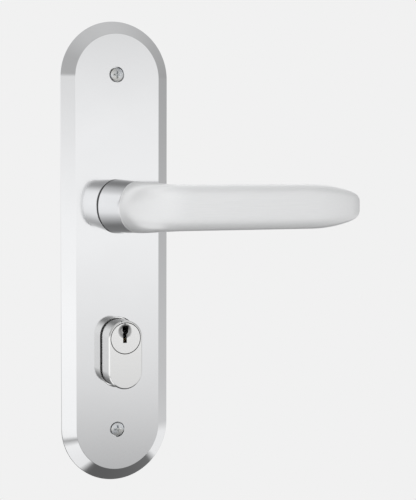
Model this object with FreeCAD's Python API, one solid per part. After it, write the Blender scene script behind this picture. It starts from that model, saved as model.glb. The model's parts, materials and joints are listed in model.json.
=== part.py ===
import FreeCAD, Part
import math
import os

from FreeCAD import Vector

# Lever handle set for a door: long backplate, sprung lever and key cylinder.
# The origin is the centre of the plate's back face, on the door's surface.
# X points to the lever's free end, Y into the door, Z up. Sizes are in mm.

os.makedirs("parts", exist_ok=True)

# Plate
plate_height = 222.0
plate_width = 54.0
plate_depth = 5.5
plate_edge = 1.2
bevel_width = 6.0
plate_wall = 1.6
rib_width = 2.0
screw_spacing = 171.0
screw_boss_radius = 6.0

# Lever and its bearing
lever_height_on_plate = 22.7
lever_reach = 107.6
lever_standoff = 43.0
collar_length = 25.6
neck_half_width = 10.4
neck_half_height = 13.05
seam_half_width = 9.0
seam_half_height = 11.9
seam_rise = 0.5
arm_half_depth = 6.6
arm_half_height = 10.55
arm_rise = 0.6
neck_squareness = 2.05
arm_squareness = 2.5
nose_length = 27.6
nose_side_radius = 75.0
nose_end_length = 8.6
nose_end_roundness = 4.0
nose_end_cut = 0.98
spigot_radius = 7.5
spigot_flat_half_width = 6.3
spigot_end_inset = 0.2
bush_wall = 1.5
bush_flange_inset = 0.1
bush_flange_thickness = 1.2
bearing_ring_radius = 13.0
bearing_ring_height = 0.6
washer_thickness = 0.4
washer_radius = 9.6
driver_thickness = 1.4
driver_radius = 12.2
snap_ring_thickness = 0.6
snap_ring_radius = 9.2
snap_groove_radius = 6.7
snap_ring_mouth_degrees = 53.0
lug_angle = 90.0
lug_width_degrees = 14.0
lug_depth = 1.5
lug_inner_radius = 10.4
lug_outer_radius = 11.9
lever_travel_degrees = 40.0
stop_slack_degrees = 0.5

# Return spring and its cover
spring_strip = 0.6
spring_strip_height = 1.2
spring_inner_radius = 13.0
spring_pitch = 1.5
spring_half_turns = 4
spring_tab = 1.4
spring_anchor_below = 1.8
spring_anchor_above = 2.4
cover_thickness = 0.6
cover_radius = 21.4
cover_post_circle = 18.9
cover_post_radius = 1.9
cover_post_count = 3
cover_post_angle = 90.0
cover_screw_radius = 0.75
cover_screw_head_radius = 1.7
cover_screw_head = 0.6
cover_screw_length = 2.4
cover_slot_width = 0.5
cover_slot_depth = 0.3

# Spindle and the screws that a hand tool turns
spindle_side = 8.0
spindle_tail = 50.0
spindle_socket_depth = 21.0
spindle_chamfer = 0.8
grub_radius = 2.9
grub_length = 6.0
grub_from_plate = 14.0
grub_hex_flats = 3.0
grub_hex_depth = 2.5
grub_chamfer = 0.45
fixing_screw_radius = 2.0
fixing_neck_radius = 1.75
fixing_screw_tail = 38.0
fixing_tip_chamfer = 0.6
fixing_head_radius = 3.3
fixing_head_height = 1.5
fixing_head_dome = 0.5
fixing_recess_radius = 3.8
fixing_recess_depth = 2.3
cross_slot_length = 4.2
cross_slot_width = 0.9
cross_slot_depth = 1.2

# Key cylinder
cylinder_width = 17.0
cylinder_height = 33.0
cylinder_centre_height = -47.7
cylinder_proud = 11.1
cylinder_front_length = 30.0
cam_slot_width = 10.0
cylinder_rear_length = 5.0
cylinder_face_chamfer = 0.6
cylinder_rim_height = 2.7
cam_sweep_radius = 15.5
fixing_thread_radius = 2.1
fixing_thread_height = 5.0
plug_face_radius = 7.3
plug_face_thickness = 2.0
plug_radius = 6.4
plug_tail_radius = 5.0
plug_tail_flat_half_width = 4.1
plug_tail_in_web = 2.6
keyway_floor = 2.1
keyway_height = 8.0
keyway_wide = 2.9
keyway_narrow = 1.75
keyway_step = 4.2
keyway_dish_radius = 3.4
keyway_dish_depth = 0.6
keyway_dish_narrowing = 0.5
keyway_dish_offset = 0.35
keyway_dish_rise = 0.8
keyway_ward = 0.45
keyway_narrow_inset = 0.2
pin_count = 5
first_pin_from_face = 7.5
pin_pitch = 4.5
pin_radius = 1.4
pin_end_chamfer = 0.35
key_pin_tip_chamfer = 0.85
pin_lift = 2.0
key_cut_step = 0.4
driver_pin_length = 6.0
cap_thickness = 2.8
pin_spring_wire = 0.4
pin_spring_wire_sides = 8
pin_spring_curls = 4
cam_width = 8.5
cam_ring_radius = 8.2
cam_reach = 15.0
cam_finger_half_width = 3.6
cam_shoulder_half_width = 5.4
cam_shoulder_reach = 10.7
clip_thickness = 0.7
clip_radius = 7.4
clip_groove_radius = 4.4
clip_mouth_half_width = 3.5

# Clearances
running_gap = 0.05
spindle_gap = 0.1
screw_gap = 0.2
cylinder_gap = 0.5
plug_face_gap = 0.25
seat_gap = 0.05
slide_gap = 0.1
shear_gap = 0.1
lug_gap = 0.2
cam_end_gap = 0.2
snap_ring_gap = 0.4
grub_way_gap = 0.4
spindle_end_gap = 0.5
cap_gap = 0.02

# Cutting tools reach this far past what they cut
overrun = 1.0

# Points taken on each turn of a spring when its least gap is measured
gap_points_per_turn = 24


# How far each key pin's tip stands above the keyway's floor: the cuts of the key
def key_cut(index):
    return key_cut_step * (1 + (index * 3) % pin_count)


def deepest_cut():
    return max(key_cut(index) for index in range(pin_count))


# Places worked out from the sizes above
face_y = -plate_depth
pocket_floor_y = face_y + plate_wall
end_arc_height = plate_height / 2 - plate_width / 2
ring_back_y = pocket_floor_y + bearing_ring_height
washer_y = ring_back_y + seat_gap
driver_y = washer_y + washer_thickness + seat_gap
snap_ring_y = driver_y + driver_thickness + seat_gap
bush_radius = spigot_radius + running_gap + bush_wall
collar_back_y = face_y - bush_flange_thickness - slide_gap
seam_y = collar_back_y - collar_length
arm_y = face_y - lever_standoff
elbow_radius = seam_y - arm_y
nose_start = lever_reach - nose_length
nose_end_start = lever_reach - nose_end_length
spigot_end_y = -spigot_end_inset
cover_y = -cover_screw_head - slide_gap - cover_thickness
cylinder_face_y = face_y - cylinder_proud
cylinder_radius = cylinder_width / 2
cylinder_straight = cylinder_height / 2 - cylinder_radius
plug_height = cylinder_centre_height + cylinder_straight
cam_slot_y = cylinder_face_y + cylinder_front_length
cam_slot_end_y = cam_slot_y + cam_slot_width
cylinder_end_y = cam_slot_end_y + cylinder_rear_length
cam_y = cam_slot_end_y - cam_width - cam_end_gap
pin_bore_radius = pin_radius + running_gap
keyway_floor_height = plug_height - keyway_floor
key_pin_foot = plug_height - plug_radius + shear_gap
driver_pin_top = plug_height - plug_radius - running_gap - shear_gap
driver_pin_foot = driver_pin_top - driver_pin_length
chamber_end = cylinder_centre_height - cylinder_height / 2
cap_top = chamber_end + cap_thickness


# Basic shapes, each named for how it lies
def block(x0, x1, y0, y1, z0, z1):
    return Part.makeBox(x1 - x0, y1 - y0, z1 - z0, Vector(x0, y0, z0))


def rod(radius, y0, y1, z, x=0.0):
    return Part.makeCylinder(radius, y1 - y0, Vector(x, y0, z), Vector(0, 1, 0))


def post(radius, z0, z1, y, x=0.0):
    return Part.makeCylinder(radius, z1 - z0, Vector(x, y, z0), Vector(0, 0, 1))


def ring(outer, inner, y0, y1, z):
    return rod(outer, y0, y1, z).cut(rod(inner, y0 - overrun, y1 + overrun, z))


def prism(points, y0, y1):
    """A flat outline of (x, z) points, carried from y0 to y1."""
    corners = [Vector(x, y0, z) for x, z in points]
    outline = Part.makePolygon(corners + corners[:1])
    return Part.Face(outline).extrude(Vector(0, y1 - y0, 0))


def stadium_wire(radius, half_straight, y, z=0.0):
    """Two upright lines joined by a half circle at each end."""
    right_low = Vector(radius, y, z - half_straight)
    right_high = Vector(radius, y, z + half_straight)
    left_high = Vector(-radius, y, z + half_straight)
    left_low = Vector(-radius, y, z - half_straight)
    crown = Vector(0, y, z + half_straight + radius)
    foot = Vector(0, y, z - half_straight - radius)
    edges = [
        Part.LineSegment(right_low, right_high).toShape(),
        Part.Arc(right_high, crown, left_high).toShape(),
        Part.LineSegment(left_high, left_low).toShape(),
        Part.Arc(left_low, foot, right_low).toShape(),
    ]
    return Part.Wire(edges)


def stadium_block(radius, half_straight, y0, y1, z=0.0):
    face = Part.Face(stadium_wire(radius, half_straight, y0, z))
    return face.extrude(Vector(0, y1 - y0, 0))


def stadium_taper(radius0, y0, radius1, y1, half_straight, z=0.0):
    first = stadium_wire(radius0, half_straight, y0, z)
    last = stadium_wire(radius1, half_straight, y1, z)
    return Part.makeLoft([first, last], True, True)


def sector(inner, outer, start, end, y0, y1, z):
    """A piece of a ring between two angles, in degrees from +X towards +Z."""
    def at(radius, angle):
        turn = math.radians(angle)
        return Vector(radius * math.cos(turn), y0, z + radius * math.sin(turn))
    middle = (start + end) / 2
    edges = [
        Part.Arc(at(outer, start), at(outer, middle), at(outer, end)).toShape(),
        Part.LineSegment(at(outer, end), at(inner, end)).toShape(),
        Part.Arc(at(inner, end), at(inner, middle), at(inner, start)).toShape(),
        Part.LineSegment(at(inner, start), at(outer, start)).toShape(),
    ]
    return Part.Face(Part.Wire(edges)).extrude(Vector(0, y1 - y0, 0))


def two_flats(radius, half_width, y0, y1, z):
    """A round rod with a flat on its left and on its right."""
    slab = block(-half_width, half_width, y0, y1, z - radius - overrun, z + radius + overrun)
    return rod(radius, y0, y1, z).common(slab)


def around(count, radius, first_angle, z):
    """Places spaced evenly on a circle, as (x, z)."""
    places = []
    for index in range(count):
        turn = math.radians(first_angle + 360.0 * index / count)
        places.append((radius * math.cos(turn), z + radius * math.sin(turn)))
    return places


def fused(shapes):
    return shapes[0].multiFuse(shapes[1:]).removeSplitter()


def print_least_gap(name, point, turns, wire):
    """The nearest that a spring's wire comes to itself, on points more than half a turn apart."""
    count = int(turns * gap_points_per_turn)
    points = [point(step / gap_points_per_turn) for step in range(count + 1)]
    apart = gap_points_per_turn // 2 + 1
    least = min(
        (points[first] - points[second]).Length
        for first in range(count + 1) for second in range(first + apart, count + 1)
    )
    print(name, "least gap to itself", round(least - wire, 3))


def save(name, shape):
    solids = shape.Solids
    whole = solids[0] if len(solids) == 1 else Part.makeCompound(solids)
    whole.exportStep("parts/" + name + ".step")
    print(name, "solids", len(solids), "valid", whole.isValid(), "volume", round(whole.Volume, 1))


# The plate's hollow follows the bevel at one wall's thickness
def plate_pocket():
    rise = plate_depth - plate_edge
    slant = math.hypot(bevel_width, rise)
    inset = plate_wall * slant / rise
    floor_radius = plate_width / 2 - bevel_width * (rise - plate_wall) / rise - inset
    rim_radius = plate_width / 2 - plate_wall
    rim_y = pocket_floor_y + (rim_radius - floor_radius) * rise / bevel_width
    slope = stadium_taper(floor_radius, pocket_floor_y, rim_radius, rim_y, end_arc_height)
    mouth = stadium_block(rim_radius, end_arc_height, rim_y, 0.0)
    return fused([slope, mouth])


def plate_outside():
    bevel = stadium_taper(
        plate_width / 2 - bevel_width, face_y, plate_width / 2, -plate_edge, end_arc_height
    )
    edge = stadium_block(plate_width / 2, end_arc_height, -plate_edge, 0.0)
    return fused([bevel, edge])


def fixing_heights():
    return [screw_spacing / 2, -screw_spacing / 2]


def cross_rib_heights():
    """One rib through the plate's centre, one each side of what the plate carries."""
    lever_zone = cover_radius + rib_width
    cylinder_zone = cylinder_height / 2 + cylinder_gap + plate_wall + rib_width
    return [
        0.0,
        lever_height_on_plate + lever_zone,
        (lever_height_on_plate + lever_zone + screw_spacing / 2) / 2,
        cylinder_centre_height - cylinder_zone,
    ]


def cover_post_places():
    return around(cover_post_count, cover_post_circle, cover_post_angle, lever_height_on_plate)


def spring_anchor_radius():
    return spring_inner_radius + spring_half_turns * spring_pitch / 2


def cover_plate():
    pocket = plate_pocket()
    stiffeners = []
    for z in cross_rib_heights():
        stiffeners.append(block(-plate_width, plate_width, face_y, 0, z - rib_width / 2, z + rib_width / 2))
    for z in fixing_heights():
        stiffeners.append(rod(screw_boss_radius, face_y, 0, z))
    stiffeners.append(
        stadium_block(
            cylinder_radius + cylinder_gap + plate_wall, cylinder_straight,
            face_y, pocket_floor_y + cylinder_rim_height, cylinder_centre_height,
        )
    )
    stiffeners.append(rod(bearing_ring_radius, face_y, ring_back_y, lever_height_on_plate))
    for x, z in cover_post_places():
        stiffeners.append(rod(cover_post_radius, face_y, cover_y, z, x))
    anchor = spring_anchor_radius()
    stiffeners.append(
        block(
            anchor + spring_strip, anchor + spring_tab + spring_strip,
            face_y, driver_y + driver_thickness,
            lever_height_on_plate - spring_anchor_below, lever_height_on_plate + spring_anchor_above,
        )
    )
    inside = pocket.common(fused(stiffeners))
    plate = fused([plate_outside().cut(pocket), inside])

    holes = [rod(bush_radius + running_gap, face_y - overrun, overrun, lever_height_on_plate)]
    holes.append(
        stadium_block(
            cylinder_radius + cylinder_gap, cylinder_straight,
            face_y - overrun, overrun, cylinder_centre_height,
        )
    )
    for z in fixing_heights():
        holes.append(rod(fixing_screw_radius + screw_gap, face_y - overrun, overrun, z))
        holes.append(rod(fixing_recess_radius, face_y - overrun, face_y + fixing_recess_depth, z))
    for x, z in cover_post_places():
        holes.append(rod(cover_screw_radius + running_gap, cover_y - cover_screw_length, 0, z, x))
    holes.append(
        block(
            anchor, anchor + spring_tab + spring_strip * 2,
            driver_y, 0,
            lever_height_on_plate - slide_gap, lever_height_on_plate + spring_strip + slide_gap,
        )
    )
    half_lug = lug_width_degrees / 2
    holes.append(
        sector(
            lug_inner_radius - lug_gap, lug_outer_radius + lug_gap,
            lug_angle - half_lug - lever_travel_degrees - stop_slack_degrees,
            lug_angle + half_lug + stop_slack_degrees,
            driver_y - lug_depth - lug_gap, 0, lever_height_on_plate,
        )
    )
    return plate.cut(fused(holes))


def bearing_bush():
    """The sleeve turns with the spigot that it is pressed on, its oval flange under the neck."""
    z = lever_height_on_plate
    tube = rod(bush_radius, collar_back_y, ring_back_y, z)
    outline = lever_oval(
        0, collar_back_y, 0, 0, neck_half_width - bush_flange_inset,
        neck_half_height - bush_flange_inset, neck_squareness,
    )
    flange = Part.Face(outline).extrude(Vector(0, bush_flange_thickness, 0))
    bore = rod(spigot_radius + running_gap, collar_back_y - overrun, ring_back_y + overrun, z)
    return fused([tube, flange]).cut(bore)


def thrust_washer():
    return ring(
        washer_radius, spigot_radius + slide_gap, washer_y, washer_y + washer_thickness,
        lever_height_on_plate,
    )


def spring_driver():
    z = lever_height_on_plate
    y0 = driver_y
    y1 = driver_y + driver_thickness
    disc = rod(driver_radius, y0, y1, z)
    half_lug = lug_width_degrees / 2
    lug = sector(
        lug_inner_radius, lug_outer_radius, lug_angle - half_lug, lug_angle + half_lug,
        y0 - lug_depth, y1, z,
    )
    hole = two_flats(
        spigot_radius + running_gap, spigot_flat_half_width + running_gap, y0 - overrun, y1 + overrun, z
    )
    notch = block(
        spring_inner_radius - spring_tab - slide_gap, driver_radius + overrun,
        y0 - overrun, y1 + overrun, z - spring_strip - slide_gap, z + slide_gap,
    )
    return fused([disc, lug]).cut(hole).cut(notch)


def return_spring():
    """A flat spiral of half circles: each is half a pitch wider than the one before."""
    z = lever_height_on_plate
    y0 = driver_y + slide_gap
    half = spring_strip / 2

    def edge_of(offset):
        edges = []
        for turn in range(spring_half_turns):
            side = 1 if turn % 2 == 0 else -1
            centre = 0.0 if turn % 2 == 0 else spring_pitch / 2
            radius = spring_inner_radius + turn * spring_pitch / 2 + offset
            start = Vector(centre + side * radius, y0, z)
            top = Vector(centre, y0, z + side * radius)
            end = Vector(centre - side * radius, y0, z)
            edges.append(Part.Arc(start, top, end).toShape())
        return edges

    def middle_line(turns):
        half_turn = min(int(turns * 2), spring_half_turns - 1)
        angle = 2 * math.pi * turns
        centre = 0.0 if half_turn % 2 == 0 else spring_pitch / 2
        radius = spring_inner_radius + half_turn * spring_pitch / 2
        return Vector(centre + radius * math.cos(angle), y0, z + radius * math.sin(angle))

    print_least_gap("return spring", middle_line, spring_half_turns / 2, spring_strip)
    outer = edge_of(half)
    inner = edge_of(-half)
    inner_start = spring_inner_radius
    outer_end = spring_anchor_radius()
    first = Part.LineSegment(
        Vector(inner_start - half, y0, z), Vector(inner_start + half, y0, z)
    ).toShape()
    last = Part.LineSegment(
        Vector(outer_end - half, y0, z), Vector(outer_end + half, y0, z)
    ).toShape()
    outline = Part.Wire(Part.__sortEdges__([first] + outer + [last] + inner))
    strip = Part.Face(outline).extrude(Vector(0, spring_strip_height, 0))
    inner_tab = block(
        inner_start - spring_tab, inner_start + half, y0, y0 + spring_strip_height, z - spring_strip, z
    )
    outer_tab = block(
        outer_end - half, outer_end + spring_tab, y0, y0 + spring_strip_height, z, z + spring_strip
    )
    return fused([strip, inner_tab, outer_tab])


def spring_cover():
    z = lever_height_on_plate
    disc = rod(cover_radius, cover_y, cover_y + cover_thickness, z)
    holes = [rod(snap_ring_radius + snap_ring_gap, cover_y - overrun, overrun, z)]
    for x, hole_z in cover_post_places():
        holes.append(rod(cover_screw_radius + running_gap, cover_y - overrun, overrun, hole_z, x))
    return disc.cut(fused(holes))


def cover_screws():
    screws = []
    head_y = cover_y + cover_thickness
    for x, z in cover_post_places():
        head = rod(cover_screw_head_radius, head_y, head_y + cover_screw_head, z, x)
        shank = rod(cover_screw_radius, head_y - cover_screw_length, head_y, z, x)
        slot = block(
            x - cover_screw_head_radius, x + cover_screw_head_radius,
            head_y + cover_screw_head - cover_slot_depth, head_y + cover_screw_head,
            z - cover_slot_width / 2, z + cover_slot_width / 2,
        )
        screws.append(fused([head, shank]).cut(slot))
    return Part.makeCompound(screws)


def retaining_ring():
    z = lever_height_on_plate
    whole = ring(
        snap_ring_radius, snap_groove_radius + running_gap,
        snap_ring_y, snap_ring_y + snap_ring_thickness, z,
    )
    half_mouth = snap_ring_mouth_degrees / 2
    mouth = sector(
        snap_groove_radius - overrun, snap_ring_radius + overrun,
        -lug_angle - half_mouth, -lug_angle + half_mouth,
        snap_ring_y, snap_ring_y + snap_ring_thickness, z,
    )
    return whole.cut(mouth)


# The lever's form: ovals carried along the neck, round the elbow and along the arm
def lever_oval(x, y, rise, turned, half_depth, half_height, squareness):
    """A rounded outline square to the lever's line: turned is 0 along the neck, 1 along the arm."""
    turn = turned * math.pi / 2
    outward = Vector(-math.cos(turn), -math.sin(turn), 0)
    centre = Vector(x, y, lever_height_on_plate + rise)
    steps = 16
    points = []
    for step in range(steps):
        angle = 2 * math.pi * step / steps
        across = math.copysign(abs(math.cos(angle)) ** (2 / squareness), math.cos(angle))
        up = math.copysign(abs(math.sin(angle)) ** (2 / squareness), math.sin(angle))
        points.append(centre + outward * (across * half_depth) + Vector(0, 0, up * half_height))
    curve = Part.BSplineCurve()
    curve.interpolate(Points=points, PeriodicFlag=True)
    return Part.Wire([curve.toShape()])


def blend(start, end, share):
    return start + (end - start) * share


def eased(share):
    """Runs from 0 to 1 with no slope at either end."""
    return share * share * (3 - 2 * share)


def loft(ovals):
    return Part.makeLoft(ovals, True, False)


def elbow_oval(turned):
    """A quarter turn changes the neck's oval into the arm's flatter one."""
    angle = turned * math.pi / 2
    share = eased(turned)
    return lever_oval(
        elbow_radius * (1 - math.cos(angle)), seam_y - elbow_radius * math.sin(angle),
        blend(seam_rise, arm_rise, share), turned,
        blend(seam_half_width, arm_half_depth, share),
        blend(seam_half_height, arm_half_height, share),
        blend(neck_squareness, arm_squareness, share),
    )


def nose_oval(x):
    """The nose's sides are flat arcs that meet a blunt rounded end."""
    along = x - nose_start
    side_loss = nose_side_radius - math.sqrt(nose_side_radius ** 2 - along ** 2)
    end_share = max(0.0, x - nose_end_start) / nose_end_length * nose_end_cut
    end_factor = (1 - end_share ** nose_end_roundness) ** (1 / nose_end_roundness)
    height = (arm_half_height - side_loss) * end_factor
    depth = (arm_half_depth - side_loss * arm_half_depth / arm_half_height) * end_factor
    return lever_oval(x, arm_y, arm_rise, 1, depth, height, arm_squareness)


def neck_form():
    """The neck is a straight taper from the plate to the seam with the arm, and rises a little."""
    foot = lever_oval(0, collar_back_y, 0, 0, neck_half_width, neck_half_height, neck_squareness)
    head = lever_oval(0, seam_y, seam_rise, 0, seam_half_width, seam_half_height, neck_squareness)
    return loft([foot, head])


def arm_form():
    elbow_steps = 4
    elbow = loft([elbow_oval(step / elbow_steps) for step in range(elbow_steps + 1)])
    grip = Part.Face(elbow_oval(1)).extrude(Vector(nose_start - elbow_radius, 0, 0))
    side_steps = 4
    end_steps = 5
    places = [blend(nose_start, nose_end_start, step / side_steps) for step in range(side_steps)]
    for step in range(end_steps + 1):
        quarter = math.pi / 2 * step / end_steps
        places.append(nose_end_start + nose_end_length * math.sin(quarter))
    nose = loft([nose_oval(x) for x in places])
    return fused([elbow, grip, nose])


def lever_arm():
    z = lever_height_on_plate
    core = rod(spigot_radius, seam_y, spigot_end_y, z)
    lever = fused([arm_form(), core])
    half = spindle_side / 2 + spindle_gap
    socket_y = face_y - spindle_socket_depth
    socket = block(-half, half, socket_y, overrun, z - half, z + half)
    end_stock = rod(spigot_radius + overrun, driver_y, overrun, z)
    flats = end_stock.cut(
        two_flats(spigot_radius + overrun, spigot_flat_half_width, driver_y, overrun, z)
    )
    groove = ring(
        spigot_radius + overrun, snap_groove_radius,
        snap_ring_y - seat_gap, snap_ring_y + snap_ring_thickness + seat_gap, z,
    )
    thread = post(grub_radius + running_gap, z - spigot_radius - overrun, z, face_y - grub_from_plate)
    return lever.cut(socket).cut(groove).cut(flats).cut(thread)


def lever_collar():
    z = lever_height_on_plate
    bore = rod(spigot_radius + running_gap, seam_y - overrun, collar_back_y + overrun, z)
    grub_way = post(
        grub_radius + grub_way_gap, z - neck_half_height - overrun, z, face_y - grub_from_plate
    )
    return neck_form().cut(bore).cut(grub_way)


def spindle():
    z = lever_height_on_plate
    half = spindle_side / 2
    y0 = face_y - spindle_socket_depth + spindle_end_gap
    bar = block(-half, half, y0, spindle_tail, z - half, z + half)
    ends = [edge for edge in bar.Edges if edge.BoundBox.YLength < 1e-6]
    return bar.makeChamfer(spindle_chamfer, ends)


def hexagon(flats, y, z0, z1):
    corner = flats / 2 / math.cos(math.pi / 6)
    points = []
    for index in range(6):
        turn = math.radians(60 * index)
        points.append(Vector(corner * math.cos(turn), y + corner * math.sin(turn), z0))
    face = Part.Face(Part.makePolygon(points + points[:1]))
    return face.extrude(Vector(0, 0, z1 - z0))


def grub_screw():
    y = face_y - grub_from_plate
    top = lever_height_on_plate - spindle_side / 2
    screw = post(grub_radius, top - grub_length, top, y)
    rims = [edge for edge in screw.Edges if abs(edge.BoundBox.ZLength) < 1e-6]
    screw = screw.makeChamfer(grub_chamfer, rims)
    bottom = top - grub_length
    return screw.cut(hexagon(grub_hex_flats, y, bottom - overrun, bottom + grub_hex_depth))


def fixing_screws():
    screws = []
    seat_y = face_y + fixing_recess_depth
    brow_y = seat_y - fixing_head_height
    for z in fixing_heights():
        sphere_radius = (fixing_head_radius ** 2 + fixing_head_dome ** 2) / (2 * fixing_head_dome)
        dome = Part.makeSphere(sphere_radius, Vector(0, brow_y - fixing_head_dome + sphere_radius, z))
        head = rod(fixing_head_radius, brow_y - fixing_head_dome, seat_y, z).common(dome)
        neck = rod(fixing_neck_radius, seat_y, 0, z)
        thread = rod(fixing_screw_radius, 0, fixing_screw_tail, z)
        tip = [e for e in thread.Edges if e.BoundBox.YMin > fixing_screw_tail - 1e-6]
        thread = thread.makeChamfer(fixing_tip_chamfer, tip)
        top_y = brow_y - fixing_head_dome
        half_length = cross_slot_length / 2
        half_width = cross_slot_width / 2
        slot_a = block(-half_length, half_length, top_y - overrun, top_y + cross_slot_depth,
                       z - half_width, z + half_width)
        slot_b = block(-half_width, half_width, top_y - overrun, top_y + cross_slot_depth,
                       z - half_length, z + half_length)
        screws.append(fused([head, neck, thread]).cut(fused([slot_a, slot_b])))
    return Part.makeCompound(screws)


def pin_places():
    return [cylinder_face_y + first_pin_from_face + pin_pitch * i for i in range(pin_count)]


def cylinder_body():
    z = cylinder_centre_height
    chamfer = cylinder_face_chamfer
    front = stadium_taper(
        cylinder_radius - chamfer, cylinder_face_y, cylinder_radius, cylinder_face_y + chamfer,
        cylinder_straight, z,
    )
    rest = stadium_block(
        cylinder_radius, cylinder_straight, cylinder_face_y + chamfer, cylinder_end_y, z
    )
    body = fused([front, rest])
    holes = [
        rod(plug_radius + running_gap, cylinder_face_y - overrun, cam_slot_y + overrun, plug_height),
        rod(
            plug_face_radius + plug_face_gap, cylinder_face_y - overrun,
            cylinder_face_y + plug_face_thickness, plug_height,
        ),
        rod(cam_sweep_radius, cam_slot_y, cam_slot_end_y, plug_height),
        rod(
            plug_tail_radius + running_gap, cam_slot_y, cam_slot_end_y + plug_tail_in_web + slide_gap,
            plug_height,
        ),
        Part.makeCylinder(
            fixing_thread_radius, cylinder_width + 2 * overrun,
            Vector(-cylinder_radius - overrun, cam_slot_y + cam_slot_width / 2,
                   chamber_end + fixing_thread_height),
            Vector(1, 0, 0),
        ),
    ]
    for y in pin_places():
        holes.append(post(pin_bore_radius, chamber_end - overrun, plug_height - plug_radius / 2, y))
    return body.cut(fused(holes))


def keyway(y0, y1):
    """A slot that is wide at the top and steps to a narrow blade at the bottom."""
    top = keyway_floor_height + keyway_height
    step = keyway_floor_height + keyway_step
    left = -keyway_wide / 2
    right = keyway_wide / 2
    narrow_left = left + keyway_narrow_inset
    narrow_right = narrow_left + keyway_narrow
    ward = keyway_ward
    outline = [
        (narrow_left, keyway_floor_height), (narrow_right, keyway_floor_height),
        (narrow_right, step - ward), (right - ward / 2, step + ward), (right, step + ward * 2),
        (right, top), (left, top), (left, step + ward * 3),
        (left + ward, step + ward * 2), (left + ward, step + ward), (narrow_left, step),
    ]
    return prism(outline, y0, y1)


def plug():
    z = plug_height
    tail_end = cam_slot_end_y + plug_tail_in_web
    head = rod(plug_face_radius, cylinder_face_y, cylinder_face_y + plug_face_thickness - seat_gap, z)
    barrel = rod(plug_radius, cylinder_face_y, cam_slot_y - seat_gap, z)
    tail = rod(plug_tail_radius, cam_slot_y - overrun, tail_end, z)
    flats = rod(plug_tail_radius + overrun, cam_y, tail_end + overrun, z).cut(
        block(-plug_tail_flat_half_width, plug_tail_flat_half_width, cam_y - overrun, tail_end + 2 * overrun,
              z - plug_radius, z + plug_radius)
    )
    groove = ring(
        plug_tail_radius + overrun, clip_groove_radius,
        cam_slot_y + seat_gap, cam_slot_y + seat_gap * 3 + clip_thickness, z,
    )
    last_pin = pin_places()[-1]
    cuts = [keyway(cylinder_face_y - overrun, last_pin + pin_pitch / 2), flats, groove]
    dish_z = keyway_floor_height + keyway_height - keyway_dish_radius + keyway_dish_rise
    cuts.append(
        Part.makeCone(
            keyway_dish_radius, keyway_dish_radius * keyway_dish_narrowing, keyway_dish_depth,
            Vector(-keyway_dish_offset, cylinder_face_y, dish_z), Vector(0, 1, 0),
        )
    )
    bore_top = keyway_floor_height + deepest_cut() + pin_lift + slide_gap
    for y in pin_places():
        cuts.append(post(pin_bore_radius, z - plug_radius - overrun, bore_top, y))
    return fused([head, barrel, tail]).cut(fused(cuts))


def turned_pin(y, foot, top, foot_chamfer, top_chamfer):
    """A round pin with a chamfer at each end, turned about its own upright line."""
    profile = [
        Vector(0, y, foot), Vector(pin_radius - foot_chamfer, y, foot),
        Vector(pin_radius, y, foot + foot_chamfer), Vector(pin_radius, y, top - top_chamfer),
        Vector(pin_radius - top_chamfer, y, top), Vector(0, y, top),
    ]
    face = Part.Face(Part.makePolygon(profile + profile[:1]))
    return face.revolve(Vector(0, y, 0), Vector(0, 0, 1), 360)


def key_pin(index):
    top = keyway_floor_height + key_cut(index)
    return turned_pin(pin_places()[index], key_pin_foot, top, pin_end_chamfer, key_pin_tip_chamfer)


def driver_pin(index):
    return turned_pin(
        pin_places()[index], driver_pin_foot, driver_pin_top, pin_end_chamfer, pin_end_chamfer
    )


def two_arcs(start, start_way, end, end_way):
    """Two arcs that leave start and reach end along the given directions."""
    chord = end - start
    ways = start_way + end_way
    turn = 2 * (start_way.dot(end_way) - 1)
    reach = chord.dot(ways)
    length = chord.dot(chord)
    if abs(turn) < 1e-9:
        arm = length / (2 * reach)
    else:
        arm = (reach * 2 - math.sqrt((reach * 2) ** 2 - 4 * turn * length)) / (2 * turn)
    first_corner = start + start_way * arm
    last_corner = end - end_way * arm
    middle = (first_corner + last_corner) * 0.5

    def arc(a, corner, b):
        half = (a + b) * 0.5
        half_chord = (b - a).Length / 2
        height = (corner - half).Length
        bulge = half_chord * math.tan(math.atan2(height, half_chord) / 2)
        return Part.Arc(a, half + (corner - half).normalize() * bulge, b).toShape()

    return [arc(start, first_corner, middle), arc(middle, last_corner, end)]


def pin_spring(index):
    """One unbroken round wire that climbs steadily from the cap to the driver pin."""
    y = pin_places()[index]
    mean_radius = pin_bore_radius - pin_spring_wire
    low = cap_top + pin_spring_wire / 2 + seat_gap
    high = driver_pin_foot - pin_spring_wire / 2 - seat_gap
    climb = (high - low) / pin_spring_curls

    def point(turns):
        angle = 2 * math.pi * turns
        return Vector(mean_radius * math.cos(angle), y + mean_radius * math.sin(angle),
                      low + climb * turns)

    def way(turns):
        angle = 2 * math.pi * turns
        around_it = 2 * math.pi * mean_radius
        return Vector(-around_it * math.sin(angle), around_it * math.cos(angle), climb).normalize()

    edges = []
    for quarter in range(pin_spring_curls * 4):
        start = quarter / 4
        end = (quarter + 1) / 4
        edges += two_arcs(point(start), way(start), point(end), way(end))
    path = Part.Wire(edges)
    round_wire = Part.Circle(point(0), way(0), pin_spring_wire / 2)
    sides = pin_spring_wire_sides
    corners = [round_wire.value(2 * math.pi * side / sides) for side in range(sides)]
    section = Part.makePolygon(corners + corners[:1])
    if index == 0:
        print_least_gap("pin spring", point, pin_spring_curls, pin_spring_wire)
    return path.makePipeShell([section], True, False)


def chamber_caps():
    caps = []
    for y in pin_places():
        cap = post(pin_bore_radius - cap_gap, chamber_end, cap_top, y)
        caps.append(cap.common(
            stadium_block(
                cylinder_radius, cylinder_straight, y - pin_pitch, y + pin_pitch, cylinder_centre_height
            )
        ))
    return Part.makeCompound(caps)


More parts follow.
